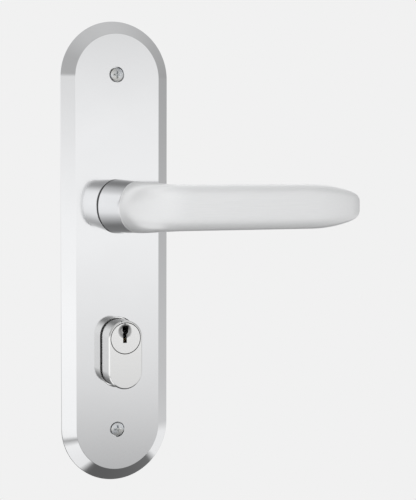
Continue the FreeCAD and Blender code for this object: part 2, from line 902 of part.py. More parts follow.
def cam():
    z = plug_height
    y0 = cam_y
    y1 = cam_y + cam_width
    hub = rod(cam_ring_radius, y0, y1, z)
    half = cam_finger_half_width
    shoulder = cam_shoulder_half_width
    finger = prism(
        [(-shoulder, z), (-half, z - cam_shoulder_reach), (-half, z - cam_reach),
         (half, z - cam_reach), (half, z - cam_shoulder_reach), (shoulder, z)],
        y0, y1,
    )
    reach = rod(cam_reach, y0, y1, z)
    bore = two_flats(
        plug_tail_radius + running_gap, plug_tail_flat_half_width + running_gap, y0 - overrun, y1 + overrun, z
    )
    return fused([hub, finger]).common(reach).cut(bore)


def plug_clip():
    z = plug_height
    y0 = cam_slot_y + seat_gap * 2
    y1 = y0 + clip_thickness
    whole = ring(clip_radius, clip_groove_radius + running_gap, y0, y1, z)
    mouth = block(
        -clip_mouth_half_width, clip_mouth_half_width, y0, y1, z - clip_radius - overrun, z
    )
    return whole.cut(mouth)


save("cover_plate", cover_plate())
save("bearing_bush", bearing_bush())
save("thrust_washer", thrust_washer())
save("spring_driver", spring_driver())
save("return_spring", return_spring())
save("spring_cover", spring_cover())
save("cover_screws", cover_screws())
save("retaining_ring", retaining_ring())
save("lever_arm", lever_arm())
save("lever_collar", lever_collar())
save("spindle", spindle())
save("grub_screw", grub_screw())
save("fixing_screws", fixing_screws())
save("cylinder_body", cylinder_body())
save("plug", plug())
save("cam", cam())
save("plug_clip", plug_clip())
save("chamber_caps", chamber_caps())
for number in range(pin_count):
    save("key_pin_%d" % (number + 1), key_pin(number))
    save("driver_pin_%d" % (number + 1), driver_pin(number))
    save("pin_spring_%d" % (number + 1), pin_spring(number))
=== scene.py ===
import json
import math

import bmesh
import bpy
import numpy as np
from bpy.props import FloatProperty, FloatVectorProperty, IntProperty, PointerProperty
from mathutils import Matrix, Vector


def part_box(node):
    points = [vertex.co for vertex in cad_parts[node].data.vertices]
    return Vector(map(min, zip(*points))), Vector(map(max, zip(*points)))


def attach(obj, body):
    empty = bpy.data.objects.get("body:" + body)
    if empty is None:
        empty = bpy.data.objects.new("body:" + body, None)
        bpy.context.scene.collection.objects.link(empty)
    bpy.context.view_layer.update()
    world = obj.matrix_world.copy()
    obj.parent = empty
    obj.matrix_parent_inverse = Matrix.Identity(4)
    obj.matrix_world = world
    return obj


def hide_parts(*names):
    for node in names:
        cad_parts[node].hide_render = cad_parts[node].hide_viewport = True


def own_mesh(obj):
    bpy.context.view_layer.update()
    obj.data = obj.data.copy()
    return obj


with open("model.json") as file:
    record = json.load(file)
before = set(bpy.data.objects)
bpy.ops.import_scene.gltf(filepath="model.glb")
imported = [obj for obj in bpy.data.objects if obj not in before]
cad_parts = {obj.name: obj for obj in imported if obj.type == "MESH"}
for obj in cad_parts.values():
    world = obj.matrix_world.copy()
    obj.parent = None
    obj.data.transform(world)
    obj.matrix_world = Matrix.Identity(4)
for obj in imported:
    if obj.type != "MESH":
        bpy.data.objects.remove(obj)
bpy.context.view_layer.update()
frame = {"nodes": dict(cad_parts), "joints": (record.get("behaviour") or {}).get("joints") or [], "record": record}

bl_info = {
    "name": "Lever handle on a long backplate",
    "version": (1, 0, 0),
    "blender": (4, 5, 0),
    "location": "3D View > Sidebar > Lever set",
    "description": "Makes the looks of a lever handle, its backplate and its key cylinder",
    "category": "Object",
}

# Places that the frame gives, in metres: X to the lever's free end, Y into the door, Z up
MM = 0.001
JOINTS = {joint["name"]: joint for joint in frame["joints"]}
MOUNTS = {mount["name"]: mount for mount in frame["record"]["mounts"]}
BODY_OF = {
    node: body for body, nodes in frame["record"]["behaviour"]["bodies"].items() for node in nodes
}
LEVER_Z = JOINTS["lever_turn"]["pos_m"][2]
PLUG_Z = JOINTS["plug_turn"]["pos_m"][2]
PLATE_LOW, PLATE_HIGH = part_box("cover_plate")
ARM_LOW, ARM_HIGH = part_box("lever_arm")
COLLAR_LOW, COLLAR_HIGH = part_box("lever_collar")
BODY_LOW, BODY_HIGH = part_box("cylinder_body")
PLUG_LOW, PLUG_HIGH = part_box("plug")
FACE_Y = PLATE_LOW.y
PIN_COUNT = sum(1 for name in frame["nodes"] if name.startswith("key_pin_"))

# The cylinder's oval: the height of its middle, and half the straight between its round ends
BODY_Z = (BODY_HIGH.z + BODY_LOW.z) / 2
BODY_STRAIGHT = (BODY_HIGH.z - BODY_LOW.z) / 2 - BODY_HIGH.x

# The rounding of a small edge, and the distance under which two points are one
EDGE = 0.1 * MM
SAME_POINT = 5e-7


# Sizes and colours that a user would change
def length(name, description, default_mm):
    return FloatProperty(
        name=name, description=description, default=default_mm * MM, min=0.0, unit="LENGTH", precision=5
    )


def angle(name, description, default_degrees):
    return FloatProperty(
        name=name, description=description, default=math.radians(default_degrees), subtype="ANGLE"
    )


def number(name, description, default):
    return FloatProperty(name=name, description=description, default=default, min=0.0)


def share(name, description, default):
    return FloatProperty(
        name=name, description=description, default=default, min=0.0, max=1.0, subtype="FACTOR"
    )


def colour(name, description, default):
    return FloatVectorProperty(
        name=name, description=description, default=default, size=3, min=0.0, max=1.0, subtype="COLOR"
    )


class PlateSizes(bpy.types.PropertyGroup):
    """The long backplate."""
    bevel_width: length("Bevel width", "Width of the slope round the face", 6.0)
    edge_height: length("Edge height", "Upright edge between the bevel and the door", 1.2)
    crest_radius: length("Crest radius", "Rounding where the face meets the bevel", 0.3)
    rim_radius: length("Rim radius", "Rounding where the bevel meets the edge", 0.45)
    foot_radius: length("Foot radius", "Rounding of the edge at the door", 0.15)
    wall: length("Wall", "Thickness of the casting", 1.6)
    rib_width: length("Rib width", "Width of the cross ribs in the hollow", 2.0)
    hole_edge: length("Hole edge", "Rounding of the holes' edges at the face", 0.22)
    boss_radius: length("Boss radius", "Radius of the screw bosses in the hollow", 6.0)
    recess_radius: length("Recess radius", "Radius of the recess for a screw head", 3.7)
    recess_depth: length("Recess depth", "Depth of the recess for a screw head", 2.3)
    recess_shift: length("Recess shift", "How far the recess sits off the screw, to the left", 0.38)
    screw_hole_radius: length("Screw hole radius", "Radius of the hole for a fixing screw", 2.2)
    bush_hole_radius: length("Bush hole radius", "Radius of the hole for the nylon bush", 9.1)
    bearing_radius: length("Bearing radius", "Radius of the raised ring round the bush", 13.0)
    bearing_height: length("Bearing height", "Height of that ring in the hollow", 0.6)
    cylinder_gap: length("Cylinder gap", "Gap round the key cylinder", 0.5)
    cylinder_rim: length("Cylinder rim", "Height of the wall round the cylinder's hole", 2.7)
    post_circle: length("Post circle", "Radius on which the lid's posts stand", 18.9)
    post_radius: length("Post radius", "Radius of a post for the lid", 1.9)


class LeverSizes(bpy.types.PropertyGroup):
    """The lever, its neck and what turns with it."""
    neck_half_width: length("Neck half width", "Half the neck's width at the plate", 10.4)
    neck_half_height: length("Neck half height", "Half the neck's height at the plate", 13.05)
    seam_half_width: length("Seam half width", "Half the neck's width at the seam", 9.0)
    seam_half_height: length("Seam half height", "Half the neck's height at the seam", 11.9)
    seam_rise: length("Seam rise", "How far the seam's centre lies above the neck's foot", 0.5)
    arm_half_depth: length("Arm half depth", "Half the arm's thickness", 6.6)
    arm_half_height: length("Arm half height", "Half the arm's height", 10.55)
    arm_rise: length("Arm rise", "How far the arm's line lies above the neck's", 0.6)
    neck_squareness: number("Neck squareness", "Power of the neck's oval, 2 for an ellipse", 2.05)
    arm_squareness: number("Arm squareness", "Power of the arm's oval", 5.0)
    nose_length: length("Nose length", "Length over which the arm narrows", 27.6)
    nose_side_radius: length("Nose side radius", "Radius of the nose's flat side arcs", 75.0)
    nose_end_length: length("Nose end length", "Length of the blunt end's rounding", 8.6)
    nose_end_roundness: number("Nose end roundness", "Power of the blunt end's curve", 4.0)
    seam_edge: length("Seam edge", "Rounding each side of the seam and at the plate", 0.28)
    running_gap: length("Running gap", "Gap between pieces that turn or fit in each other", 0.05)
    bush_wall: length("Bush wall", "Wall of the nylon bush", 1.5)
    bush_flange: length("Bush flange", "Thickness of the bush's flange under the neck", 1.2)
    bush_inset: length("Bush inset", "How far that flange lies inside the neck's outline", 0.1)
    spigot_radius: length("Spigot radius", "Radius of the bearing spigot", 7.5)
    spigot_flat: length("Spigot flat", "Half the width across the spigot's flats", 6.3)
    spigot_groove: length("Spigot groove", "Radius at the bottom of the snap ring's groove", 6.7)
    socket_half: length("Socket half", "Half the width of the spindle's socket", 4.1)
    socket_depth: length("Socket depth", "Depth of the socket before the plate's face", 21.0)
    grub_radius: length("Grub radius", "Radius of the grub screw", 2.9)
    grub_way_gap: length("Grub way gap", "Gap round the grub screw in the collar", 0.4)
    grub_hex_flats: length("Grub hex", "Width across the grub screw's hexagon", 3.0)
    grub_hex_depth: length("Grub hex depth", "Depth of that hexagon", 2.5)
    grub_pitch: length("Grub pitch", "Pitch of the grub screw's thread", 0.8)
    spindle_chamfer: length("Spindle chamfer", "Chamfer along the spindle's corners", 0.8)


class SpringSizes(bpy.types.PropertyGroup):
    """The return spring and the pieces round it."""
    strip: length("Strip", "Thickness of the flat spring", 0.6)
    inner_radius: length("Inner radius", "Radius of the spring's first half turn", 13.0)
    pitch: length("Pitch", "How much a full turn widens the spring", 1.5)
    tab: length("Tab", "Length of the spring's end tabs", 1.4)
    half_turns: IntProperty(name="Half turns", description="Number of half turns", default=4, min=2)
    lug_inner: length("Lug inner", "Inner radius of the stop lug", 10.4)
    lug_outer: length("Lug outer", "Outer radius of the stop lug", 11.9)
    lug_half_angle: angle("Lug half angle", "Half the angle that the lug covers", 7.0)
    driver_radius: length("Driver radius", "Radius of the keyed driver", 12.2)
    driver_thickness: length("Driver thickness", "Thickness of the keyed driver's disc", 1.4)
    lid_hole: length("Lid hole", "Radius of the hole in the lid", 9.6)
    lid_screw_radius: length("Lid screw radius", "Radius of a lid screw's shank", 0.75)
    lid_head_radius: length("Lid head radius", "Radius of a lid screw's head", 1.7)
    lid_head_height: length("Lid head height", "Height of a lid screw's head", 0.6)
    lid_slot: length("Lid slot", "Width of the slot in a lid screw", 0.5)
    ring_mouth: angle("Ring mouth", "Open angle of the snap ring", 53.0)


class CylinderSizes(bpy.types.PropertyGroup):
    """The oval key cylinder and what is in it."""
    face_chamfer: length("Face chamfer", "Chamfer round the cylinder's face", 0.6)
    face_length: length("Face length", "From the cylinder's face to the cam's slot", 30.0)
    slot_width: length("Slot width", "Width of the cam's slot", 10.0)
    sweep_radius: length("Sweep radius", "Radius cleared for the cam", 15.5)
    screw_radius: length("Screw radius", "Radius of the lock case screw's hole", 2.1)
    plug_face_radius: length("Plug face radius", "Radius of the plug's head", 7.3)
    plug_face_gap: length("Plug face gap", "Gap round the plug's head", 0.3)
    plug_face_depth: length("Plug face depth", "Thickness of the plug's head", 2.0)
    plug_radius: length("Plug radius", "Radius of the plug's barrel", 6.4)
    tail_radius: length("Tail radius", "Radius of the plug's tail", 5.0)
    tail_flat: length("Tail flat", "Half the width across the tail's flats", 4.1)
    running_gap: length("Running gap", "Gap between turned pieces", 0.05)
    keyway_floor: length("Keyway floor", "Depth of the keyway's floor under the plug's axis", 2.1)
    keyway_height: length("Keyway height", "Height of the keyway", 8.0)
    keyway_wide: length("Keyway wide", "Width of the keyway's upper part", 2.9)
    keyway_narrow: length("Keyway narrow", "Width of the keyway's lower part", 1.75)
    keyway_step: length("Keyway step", "Height of the step between the two", 4.2)
    keyway_ward: length("Keyway ward", "Size of the ribs in the keyway", 0.45)
    keyway_inset: length("Keyway inset", "How far the lower part is set in on the left", 0.2)
    keyway_depth: length("Keyway depth", "How deep the keyway runs into the plug", 27.75)
    dish_radius: length("Dish radius", "Radius of the key's dish in the face", 3.8)
    dish_depth: length("Dish depth", "Depth of that dish", 0.6)
    dish_offset: length("Dish offset", "How far the dish lies to the left", 0.35)
    dish_drop: length("Dish drop", "From the keyway's top down to the dish's centre", 2.6)
    pin_radius: length("Pin radius", "Radius of a pin", 1.4)
    pin_end: length("Pin end", "Chamfer at a pin's end", 0.35)
    pin_tip: length("Pin tip", "Chamfer at a key pin's tip", 0.85)
    pin_bore: length("Pin bore", "Radius of a pin's chamber", 1.45)
    spring_wire: length("Spring wire", "Thickness of a pin spring's wire", 0.4)
    spring_curls: IntProperty(name="Spring curls", description="Curls of a pin spring", default=4, min=1)
    clip_inner: length("Clip inner", "Inner radius of the plug's clip", 4.45)
    clip_mouth: length("Clip mouth", "Half the width of the clip's mouth", 3.5)
    cam_hub: length("Cam hub", "Radius of the cam's hub", 8.2)
    cam_finger: length("Cam finger", "Half the width of the cam's finger", 3.6)
    cam_shoulder: length("Cam shoulder", "Half the width of the finger's root", 5.4)
    cam_shoulder_reach: length("Cam shoulder reach", "Where the finger reaches its width", 10.7)
    cam_reach: length("Cam reach", "Radius of the cam's tip", 15.0)


class ScrewSizes(bpy.types.PropertyGroup):
    """The two fixing screws that go through the door."""
    head_radius: length("Head radius", "Radius of the screw's head", 3.3)
    head_dome: length("Head dome", "Height of the domed top of the head", 0.4)
    neck_radius: length("Neck radius", "Radius of the plain neck in the plate", 1.75)
    thread_radius: length("Thread radius", "Outer radius of the thread", 2.0)
    thread_depth: length("Thread depth", "Depth of the thread", 0.38)
    thread_pitch: length("Thread pitch", "Pitch of the thread", 0.7)
    tip_chamfer: length("Tip chamfer", "Chamfer at the screw's end", 0.6)
    cross_length: length("Cross length", "Length of the cross in the head", 4.2)
    cross_width: length("Cross width", "Width of the cross's wings", 0.9)
    cross_depth: length("Cross depth", "Depth of the cross", 1.2)
    cross_taper: share("Cross taper", "Size of the cross at its bottom", 0.42)


class FinishColours(bpy.types.PropertyGroup):
    """The colour of each finish."""
    polished: colour("Polished chrome", "Plate and collar", (0.87, 0.875, 0.885))
    satin: colour("Satin chrome", "Lever", (0.75, 0.755, 0.76))
    nickel: colour("Nickel", "Cylinder and plug", (0.92, 0.92, 0.915))
    zinc: colour("Zinc steel", "Spindle, screws, cam and sheet pieces", (0.86, 0.87, 0.88))
    steel: colour("Spring steel", "Springs, rings and the grub screw", (0.46, 0.46, 0.47))
    brass: colour("Brass", "Pins and caps", (0.83, 0.64, 0.33))
    nylon: colour("Black nylon", "Bush", (0.018, 0.018, 0.019))


class StudioSettings(bpy.types.PropertyGroup):
    """The camera, the floor and the light."""
    azimuth: angle("Azimuth", "Turn of the camera about Z, below 0 to the left", -23.657)
    elevation: angle("Elevation", "How far the camera stands above", 3.862)
    roll: angle("Roll", "Turn about the camera's line of sight", 0.201)
    distance: length("Distance", "From the camera to the point that it looks at", 648.9)
    target_x: length("Target x", "Where the camera looks, towards the lever's end", 49.756)
    target_z: length("Target z", "Where the camera looks, upwards", 0.1755)
    lens: number("Lens", "Focal length in millimetres on a 36 mm sensor", 93.402)
    floor_drop: length("Floor drop", "How far the floor lies under the origin", 1000.0)
    floor_radius: length("Floor radius", "Radius of the floor", 6000.0)
    background: share("Background", "Brightness of the plain background", 0.8796)
    floor_tone: share("Floor tone", "How pale the floor is where it takes light", 0.8)
    floor_shadow: share("Floor shadow", "Share of the floor that takes light and shadow", 0.15)
    lamp_power: number("Lamp power", "Power of each far lamp, in watts", 12.0)
    near_power: number("Near lamp power", "Power of the small soft lamp by the plate, in watts", 0.9)


GROUPS = {
    "lever_set_plate": PlateSizes,
    "lever_set_lever": LeverSizes,
    "lever_set_spring": SpringSizes,
    "lever_set_cylinder": CylinderSizes,
    "lever_set_screws": ScrewSizes,
    "lever_set_finishes": FinishColours,
    "lever_set_studio": StudioSettings,
}


# Outlines and profiles, as arrays of points in two dimensions
def rounded(corners, radii, closed, steps=6):
    """Each corner becomes an arc that touches both of its sides.

    The arc's centre lies on the line that halves the corner, at radius / sin(half the corner's
    angle), and its points turn evenly from one touching point to the other. The least values of
    1e-12 and 1e-9 only keep a straight or a sharp corner from dividing by 0.
    """
    corners = np.asarray(corners, float)
    radii = np.broadcast_to(np.asarray(radii, float), len(corners))[:, None]
    to_last = np.roll(corners, 1, axis=0) - corners
    to_next = np.roll(corners, -1, axis=0) - corners
    to_last /= np.linalg.norm(to_last, axis=1, keepdims=True)
    to_next /= np.linalg.norm(to_next, axis=1, keepdims=True)
    half = np.arccos(np.clip((to_last * to_next).sum(1, keepdims=True), -1, 1)) / 2
    halving = to_last + to_next
    halving /= np.maximum(np.linalg.norm(halving, axis=1, keepdims=True), 1e-12)
    centre = corners + halving * radii / np.sin(half)
    first = corners + to_last * radii / np.tan(half) - centre
    last = corners + to_next * radii / np.tan(half) - centre
    sweep = (math.pi - 2 * half)[:, :, None]
    part = np.linspace(0, 1, steps)[None, :, None]
    swept = np.sin((1 - part) * sweep) * first[:, None] + np.sin(part * sweep) * last[:, None]
    arcs = centre[:, None] + swept / np.maximum(np.sin(sweep), 1e-9)
    if not closed:
        arcs[0] = corners[0]
        arcs[-1] = corners[-1]
    points = arcs.reshape(-1, 2)
    apart = np.linalg.norm(points - np.roll(points, 1, axis=0), axis=1) > 1e-8
    apart[0] = apart[0] or not closed
    return points[apart]


def circle_angles(count):
    """Angles spaced evenly over a full turn."""
    return np.linspace(0, 2 * math.pi, count, endpoint=False)


def circle_outline(radius, count=96):
    """The point at angle t is (radius cos t, radius sin t)."""
    turn = circle_angles(count)
    return radius * np.stack([np.cos(turn), np.sin(turn)], axis=1)


def rectangle(half_width, half_height, radius=0.0):
    """Corners at plus and minus each half size, rounded by the radius."""
    corners = [
        (-half_width, -half_height), (half_width, -half_height),
        (half_width, half_height), (-half_width, half_height),
    ]
    return rounded(corners, radius, closed=True)


def ring_profile(inner, outer, start, end):
    """The corners of a plain ring's profile, or of a plain disc's when the inner radius is 0."""
    return [(inner, start), (outer, start), (outer, end), (inner, end)]


def outward_from(outline):
    """The way out of a closed outline at each point: its neighbours' difference, a quarter turn on."""
    side = np.roll(outline, -1, axis=0) - np.roll(outline, 1, axis=0)
    outward = np.stack([side[:, 1], -side[:, 0]], axis=1)
    return outward / np.linalg.norm(outward, axis=1, keepdims=True)


def layered(flat, along):
    """Rows of flat (a, b) points, each row at its own height, as the points (a, height, b)."""
    heights = np.broadcast_to(along[:, None], flat.shape[:2])
    return np.stack([flat[..., 0], heights, flat[..., 1]], axis=-1)


# Meshes made from whole arrays of points
def added(name, data):
    """A new object in the scene."""
    item = bpy.data.objects.new(name, data)
    bpy.context.scene.collection.objects.link(item)
    return item


def grid_mesh(name, points, wrap_rows=False, wrap_columns=True, caps=False):
    """Four-sided faces between neighbouring rows and columns of points, with caps on the end rows."""
    rows, columns = points.shape[:2]
    index = np.arange(rows * columns).reshape(rows, columns)
    faces = index
    if wrap_rows:
        faces = np.vstack([faces, faces[:1]])
    if wrap_columns:
        faces = np.hstack([faces, faces[:, :1]])
    quads = np.stack([faces[:-1, :-1], faces[:-1, 1:], faces[1:, 1:], faces[1:, :-1]], axis=-1)
    polygons = quads.reshape(-1, 4).tolist()
    for row in ((0, -1) if caps else ()):
        if np.ptp(points[row], axis=0).max() > 2 * SAME_POINT:
            polygons.append(index[row].tolist())
    mesh = bpy.data.meshes.new(name)
    mesh.from_pydata(points.reshape(-1, 3).tolist(), [], polygons)
    shape = bmesh.new()
    shape.from_mesh(mesh)
    bmesh.ops.remove_doubles(shape, verts=shape.verts, dist=SAME_POINT)
    bmesh.ops.recalc_face_normals(shape, faces=shape.faces)
    shape.to_mesh(mesh)
    shape.free()
    return added(name, mesh)


def poled(name, points):
    """A tube of rings, closed at each end by a point in the middle of its last ring."""
    start = np.broadcast_to(points[0].mean(axis=0), points[:1].shape)
    end = np.broadcast_to(points[-1].mean(axis=0), points[-1:].shape)
    return grid_mesh(name, np.concatenate([start, points, end]))


def set_axis(points, axis):
    """Turns points made about +Y into points about another axis: (a, along, b) is put where it belongs."""
    order = {"X": (1, 0, 2), "Y": (0, 1, 2), "Z": (0, 2, 1)}[axis]
    return points[..., order]


def flat_ends(radius, along):
    """Leaves out an end row on the axis whose neighbour is level with it: one flat cap takes its place."""
    first = 1 if radius[0].max() == 0 and abs(along[0] - along[1]) < 1e-9 else 0
    last = -1 if radius[-1].max() == 0 and abs(along[-1] - along[-2]) < 1e-9 else None
    return radius[first:last], along[first:last]


def turned(name, radius, along, centre, axis="Y", closed=False, columns=96):
    """A turned shape: at each row's height the point is (radius cos, along, radius sin) about its axis."""
    radius = np.asarray(radius, float)
    along = np.asarray(along, float)
    if radius.ndim == 1:
        radius = np.repeat(radius[:, None], columns, axis=1)
    if not closed:
        radius, along = flat_ends(radius, along)
    turn = circle_angles(radius.shape[1])
    heights = np.broadcast_to(along[:, None], radius.shape)
    points = np.stack([radius * np.cos(turn), heights, radius * np.sin(turn)], axis=-1)
    return grid_mesh(name, set_axis(points, axis) + np.asarray(centre), wrap_rows=closed, caps=not closed)


def lathe(name, profile, radii, centre, axis="Y", closed=False, columns=96):
    """A rounded profile of (radius, along) corners, turned about an axis."""
    points = rounded(profile, radii, closed)
    return turned(name, points[:, 0], points[:, 1], centre, axis, closed, columns)


def drill(name, radius, start, end, centre, axis="Y", columns=96):
    """A plain round cutter."""
    return turned(name, [0, radius, radius, 0], [start, start, end, end], centre, axis, columns=columns)


def stadium(name, profile, radii, half_straight, height, columns=96):
    """A profile of (radius, y) carried round two half circles and the straights between them.

    The point at angle t is (radius cos t, y, radius sin t + h), where h is the height plus half
    the straight in the upper half and minus half the straight in the lower.
    """
    points = rounded(profile, radii, closed=False)
    half = np.linspace(0, math.pi, columns // 2 + 1)
    turn = np.concatenate([half, half + math.pi])
    spine = height + half_straight * np.repeat([1.0, -1.0], len(half))
    radius, along = flat_ends(points[:, :1], points[:, 1])
    heights = np.broadcast_to(along[:, None], (len(along), len(turn)))
    grid = np.stack([radius * np.cos(turn), heights, radius * np.sin(turn) + spine], axis=-1)
    return grid_mesh(name, grid, caps=True)


def prism(name, outline, start, end, centre, axis="Y", edge=0.0):
    """An outline carried along an axis, drawn in by a quarter circle of the edge's radius at each end."""
    outline = np.asarray(outline, float)
    turn = np.linspace(0, math.pi / 2, 5) if edge else np.zeros(1)
    inset = np.concatenate([edge * (1 - np.sin(turn)), edge * (1 - np.cos(turn))])
    along = np.concatenate([start + edge * (1 - np.cos(turn)), end - edge + edge * np.sin(turn)])
    flat = outline[None] - outward_from(outline)[None] * inset[:, None, None]
    return grid_mesh(name, set_axis(layered(flat, along), axis) + np.asarray(centre), caps=True)


def block(name, low, high):
    """A plain block between two corners, used as a tool or a rib."""
    low = np.asarray(low, float)
    high = np.asarray(high, float)
    middle = (low + high) / 2
    half = (high - low) / 2
    outline = rectangle(half[0], half[2])
    return prism(name, outline, low[1], high[1], (middle[0], 0, middle[2]))


def carried(name, section, path, outward):
    """A section of (out, across) points carried along a path.

    Out lies along the given direction, and across is the path's tangent crossed with it.
    """
    path = np.asarray(path, float)
    outward = np.asarray(outward, float)
    tangent = np.gradient(path, axis=0)
    across = np.cross(tangent, outward)
    across /= np.linalg.norm(across, axis=1, keepdims=True)
    points = path[:, None] + section[None, :, :1] * outward[:, None]
    return grid_mesh(name, points + section[None, :, 1:] * across[:, None], caps=True)


def thread_rows(radius, depth, pitch, start, end, columns=32):
    """The rows of a screw thread, as (radii, heights).

    The radius is the outer one less the depth times a triangle wave of (height / pitch - angle /
    full turn). Over the first and the last pitch the wave runs out into the thread's root.
    """
    rows_per_pitch = 8
    rows = int(round((end - start) / pitch * rows_per_pitch)) + 1
    height = np.linspace(start, end, rows)[:, None]
    turn = circle_angles(columns)[None]
    wave = 2 * np.abs((height / pitch - turn / (2 * math.pi)) % 1 - 0.5)
    fade = np.clip(np.minimum(height - start, end - height) / pitch, 0, 1)
    return radius - depth * (wave * fade + (1 - fade)), height[:, 0]


# Joining and cutting
def applied(piece):
    """Takes over the shape that a piece's modifiers give."""
    bpy.context.view_layer.update()
    shown = piece.evaluated_get(bpy.context.evaluated_depsgraph_get())
    mesh = bpy.data.meshes.new_from_object(shown)
    piece.modifiers.clear()
    piece.data = mesh
    return piece


def combine(piece, tools, operation):
    """Joins the tools to a piece, cuts them from it or keeps what it shares with them."""
    for tool in tools:
        step = piece.modifiers.new("combine", "BOOLEAN")
        step.operation = operation
        step.solver = "EXACT"
        step.object = tool
    applied(piece)
    for tool in tools:
        bpy.data.objects.remove(tool)
    if not piece.data.polygons:
        raise RuntimeError("nothing was left of " + piece.name)
    return piece


def joined(name, pieces):
    """Several separate closed shapes as one piece."""
    shape = bmesh.new()
    for piece in pieces:
        shape.from_mesh(piece.data)
    mesh = bpy.data.meshes.new(name)
    shape.to_mesh(mesh)
    shape.free()
    for piece in pieces:
        bpy.data.objects.remove(piece)
    return added(name, mesh)


# How far a hole's rounded edge turns before a straight cut takes over
FLARE_DEGREES = 70


def flared_profile(radius, start, end, flare):
    """A cutter's profile whose mouth at the start opens by a rounded flare, so the hole's edge is round.

    The flare is an arc of that radius from the hole's wall to FLARE_DEGREES, then a straight.
    """
    turn = np.radians(np.linspace(FLARE_DEGREES, 0, 8))
    mouth_radius = radius + flare * (1 - np.cos(turn))
    mouth_y = start + flare * (1 - np.sin(turn))
    lead = flare / 2
    lead_radius = mouth_radius[0] + lead * math.tan(math.radians(FLARE_DEGREES))
    lead_y = mouth_y[0] - lead
    return np.vstack([
        [[0, lead_y], [lead_radius, lead_y]], np.stack([mouth_radius, mouth_y], axis=1),
        [[radius, end], [0, end]],
    ])


def flared_hole(name, radius, start, end, centre, flare):
    """The flared profile turned about the hole's axis."""
    profile = flared_profile(radius, start, end, flare)
    return turned(name, profile[:, 0], profile[:, 1], centre)


def flats(half_width, reach, start, end, height):
    """Two cutters that leave a flat on the left and on the right of a round bar."""
    return [
        block("flat", (left, start, height - reach), (right, end, height + reach))
        for left, right in ((-reach, -half_width), (half_width, reach))
    ]


def dress(piece, material, slot, *nodes, sharp_degrees=35.0):
    """Shades a piece evenly and puts it in place of its CAD nodes, on their body."""
    mesh = piece.data
    mesh.polygons.foreach_set("use_smooth", np.ones(len(mesh.polygons), bool))
    mesh.set_sharp_from_angle(angle=math.radians(sharp_degrees))
    even = piece.modifiers.new("even_shading", "WEIGHTED_NORMAL")
    even.mode = "FACE_AREA_WITH_ANGLE"
    even.weight = 90
    even.keep_sharp = True
    mesh.materials.clear()
    mesh.materials.append(material)
    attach(piece, BODY_OF[nodes[0]])
    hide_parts(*nodes)
    return piece


# Materials: sockets that take sums and products
class Value:
    """A socket of a finish. Arithmetic on it adds Math nodes."""

    def __init__(self, finish, socket):
        self.finish = finish
        self.socket = socket

    def math(self, operation, *values):
        inputs = dict(enumerate(values))
        return self.finish.node("ShaderNodeMath", {"operation": operation}, inputs)

    def __add__(self, other):
        return self.math("ADD", self, other)

    __radd__ = __add__

    def __sub__(self, other):
        return self.math("SUBTRACT", self, other)

    def __rsub__(self, other):
        return self.math("SUBTRACT", other, self)

    def __mul__(self, other):
        return self.math("MULTIPLY", self, other)

    __rmul__ = __mul__

    def __truediv__(self, other):
        return self.math("DIVIDE", self, other)

    def sine(self):
        return self.math("SINE", self)

    def square_root(self):
        return self.math("SQRT", self)


class Finish:
    """The nodes of one material or of the studio's surroundings."""

    def __init__(self, tree):
        self.tree = tree
        tree.nodes.clear()

    def node(self, kind, settings=None, inputs=None, output=0):
        """Adds a node: its settings first, with a ramp's stops among them, then its sockets."""
        node = self.tree.nodes.new(kind)
        for key, value in (settings or {}).items():
            if key == "stops":
                self.set_stops(node.color_ramp, value)
            else:
                setattr(node, key, value)
        for key, value in (inputs or {}).items():
            if isinstance(value, Value):
                self.tree.links.new(value.socket, node.inputs[key])
            else:
                node.inputs[key].default_value = value
        return Value(self, node.outputs[output]) if len(node.outputs) else node

    @staticmethod
    def set_stops(ramp, stops):
        """Puts grey stops, as (position, tone), on a ramp in place of its own."""
        while len(ramp.elements) > 1:
            ramp.elements.remove(ramp.elements[-1])
        ramp.elements[0].position = stops[0][0]
        for position, _ in stops[1:]:
            ramp.elements.new(position)
        for element, (_, tone) in zip(ramp.elements, stops):
            element.color = (tone, tone, tone, 1.0)

    def place(self):
        """Where a point of the piece lies, in millimetres."""
        coordinates = self.node("ShaderNodeTexCoord", output="Object")
        return self.node("ShaderNodeVectorMath", {"operation": "SCALE"}, {0: coordinates, "Scale": 1 / MM})

    def stretched(self, place, factors):
        """A place with each of its parts times its own factor, so a pattern on it is drawn out."""
        return self.node("ShaderNodeVectorMath", {"operation": "MULTIPLY"}, {0: place, 1: factors})

    def noise(self, place, scale, detail):
        """A smooth random value, about 0.5 on average."""
        inputs = {"Vector": place, "Scale": scale, "Detail": detail}
        return self.node("ShaderNodeTexNoise", None, inputs)

    def band(self, value, low, high, to_low=0.0, to_high=1.0):
        """Maps a value from one range to another, held at both ends and eased between them."""
        inputs = {"Value": value, "From Min": low, "From Max": high, "To Min": to_low, "To Max": to_high}
        return self.node("ShaderNodeMapRange", {"interpolation_type": "SMOOTHSTEP"}, inputs)

    def between(self, mask, first, second):
        """Runs from one colour to another as the mask goes from 0 to 1."""
        inputs = {0: mask, 6: first, 7: second}
        return self.node("ShaderNodeMix", {"data_type": "RGBA"}, inputs, output=2)

    def parts(self, place):
        """The x, y and z of a place, as three values."""
        split = self.node("ShaderNodeSeparateXYZ", None, {0: place}).socket.node
        return [Value(self, socket) for socket in split.outputs]

    def bump(self, height, depth_mm):
        """A normal tilted by the height, which is worth so many millimetres at 1."""
        inputs = {"Strength": 1.0, "Distance": depth_mm * MM, "Height": height}
        return self.node("ShaderNodeBump", None, inputs)


def tinted(tone, *factors):
    """A colour times one factor, or times one each for red, green and blue."""
    factors = factors if len(factors) == 3 else factors * 3
    return tuple(part * factor for part, factor in zip(tone, factors)) + (1.0,)


def new_finish(name):
    """A material with no nodes yet, and the finish that adds them."""
    material = bpy.data.materials.new(name)
    material.use_nodes = True
    return material, Finish(material.node_tree)


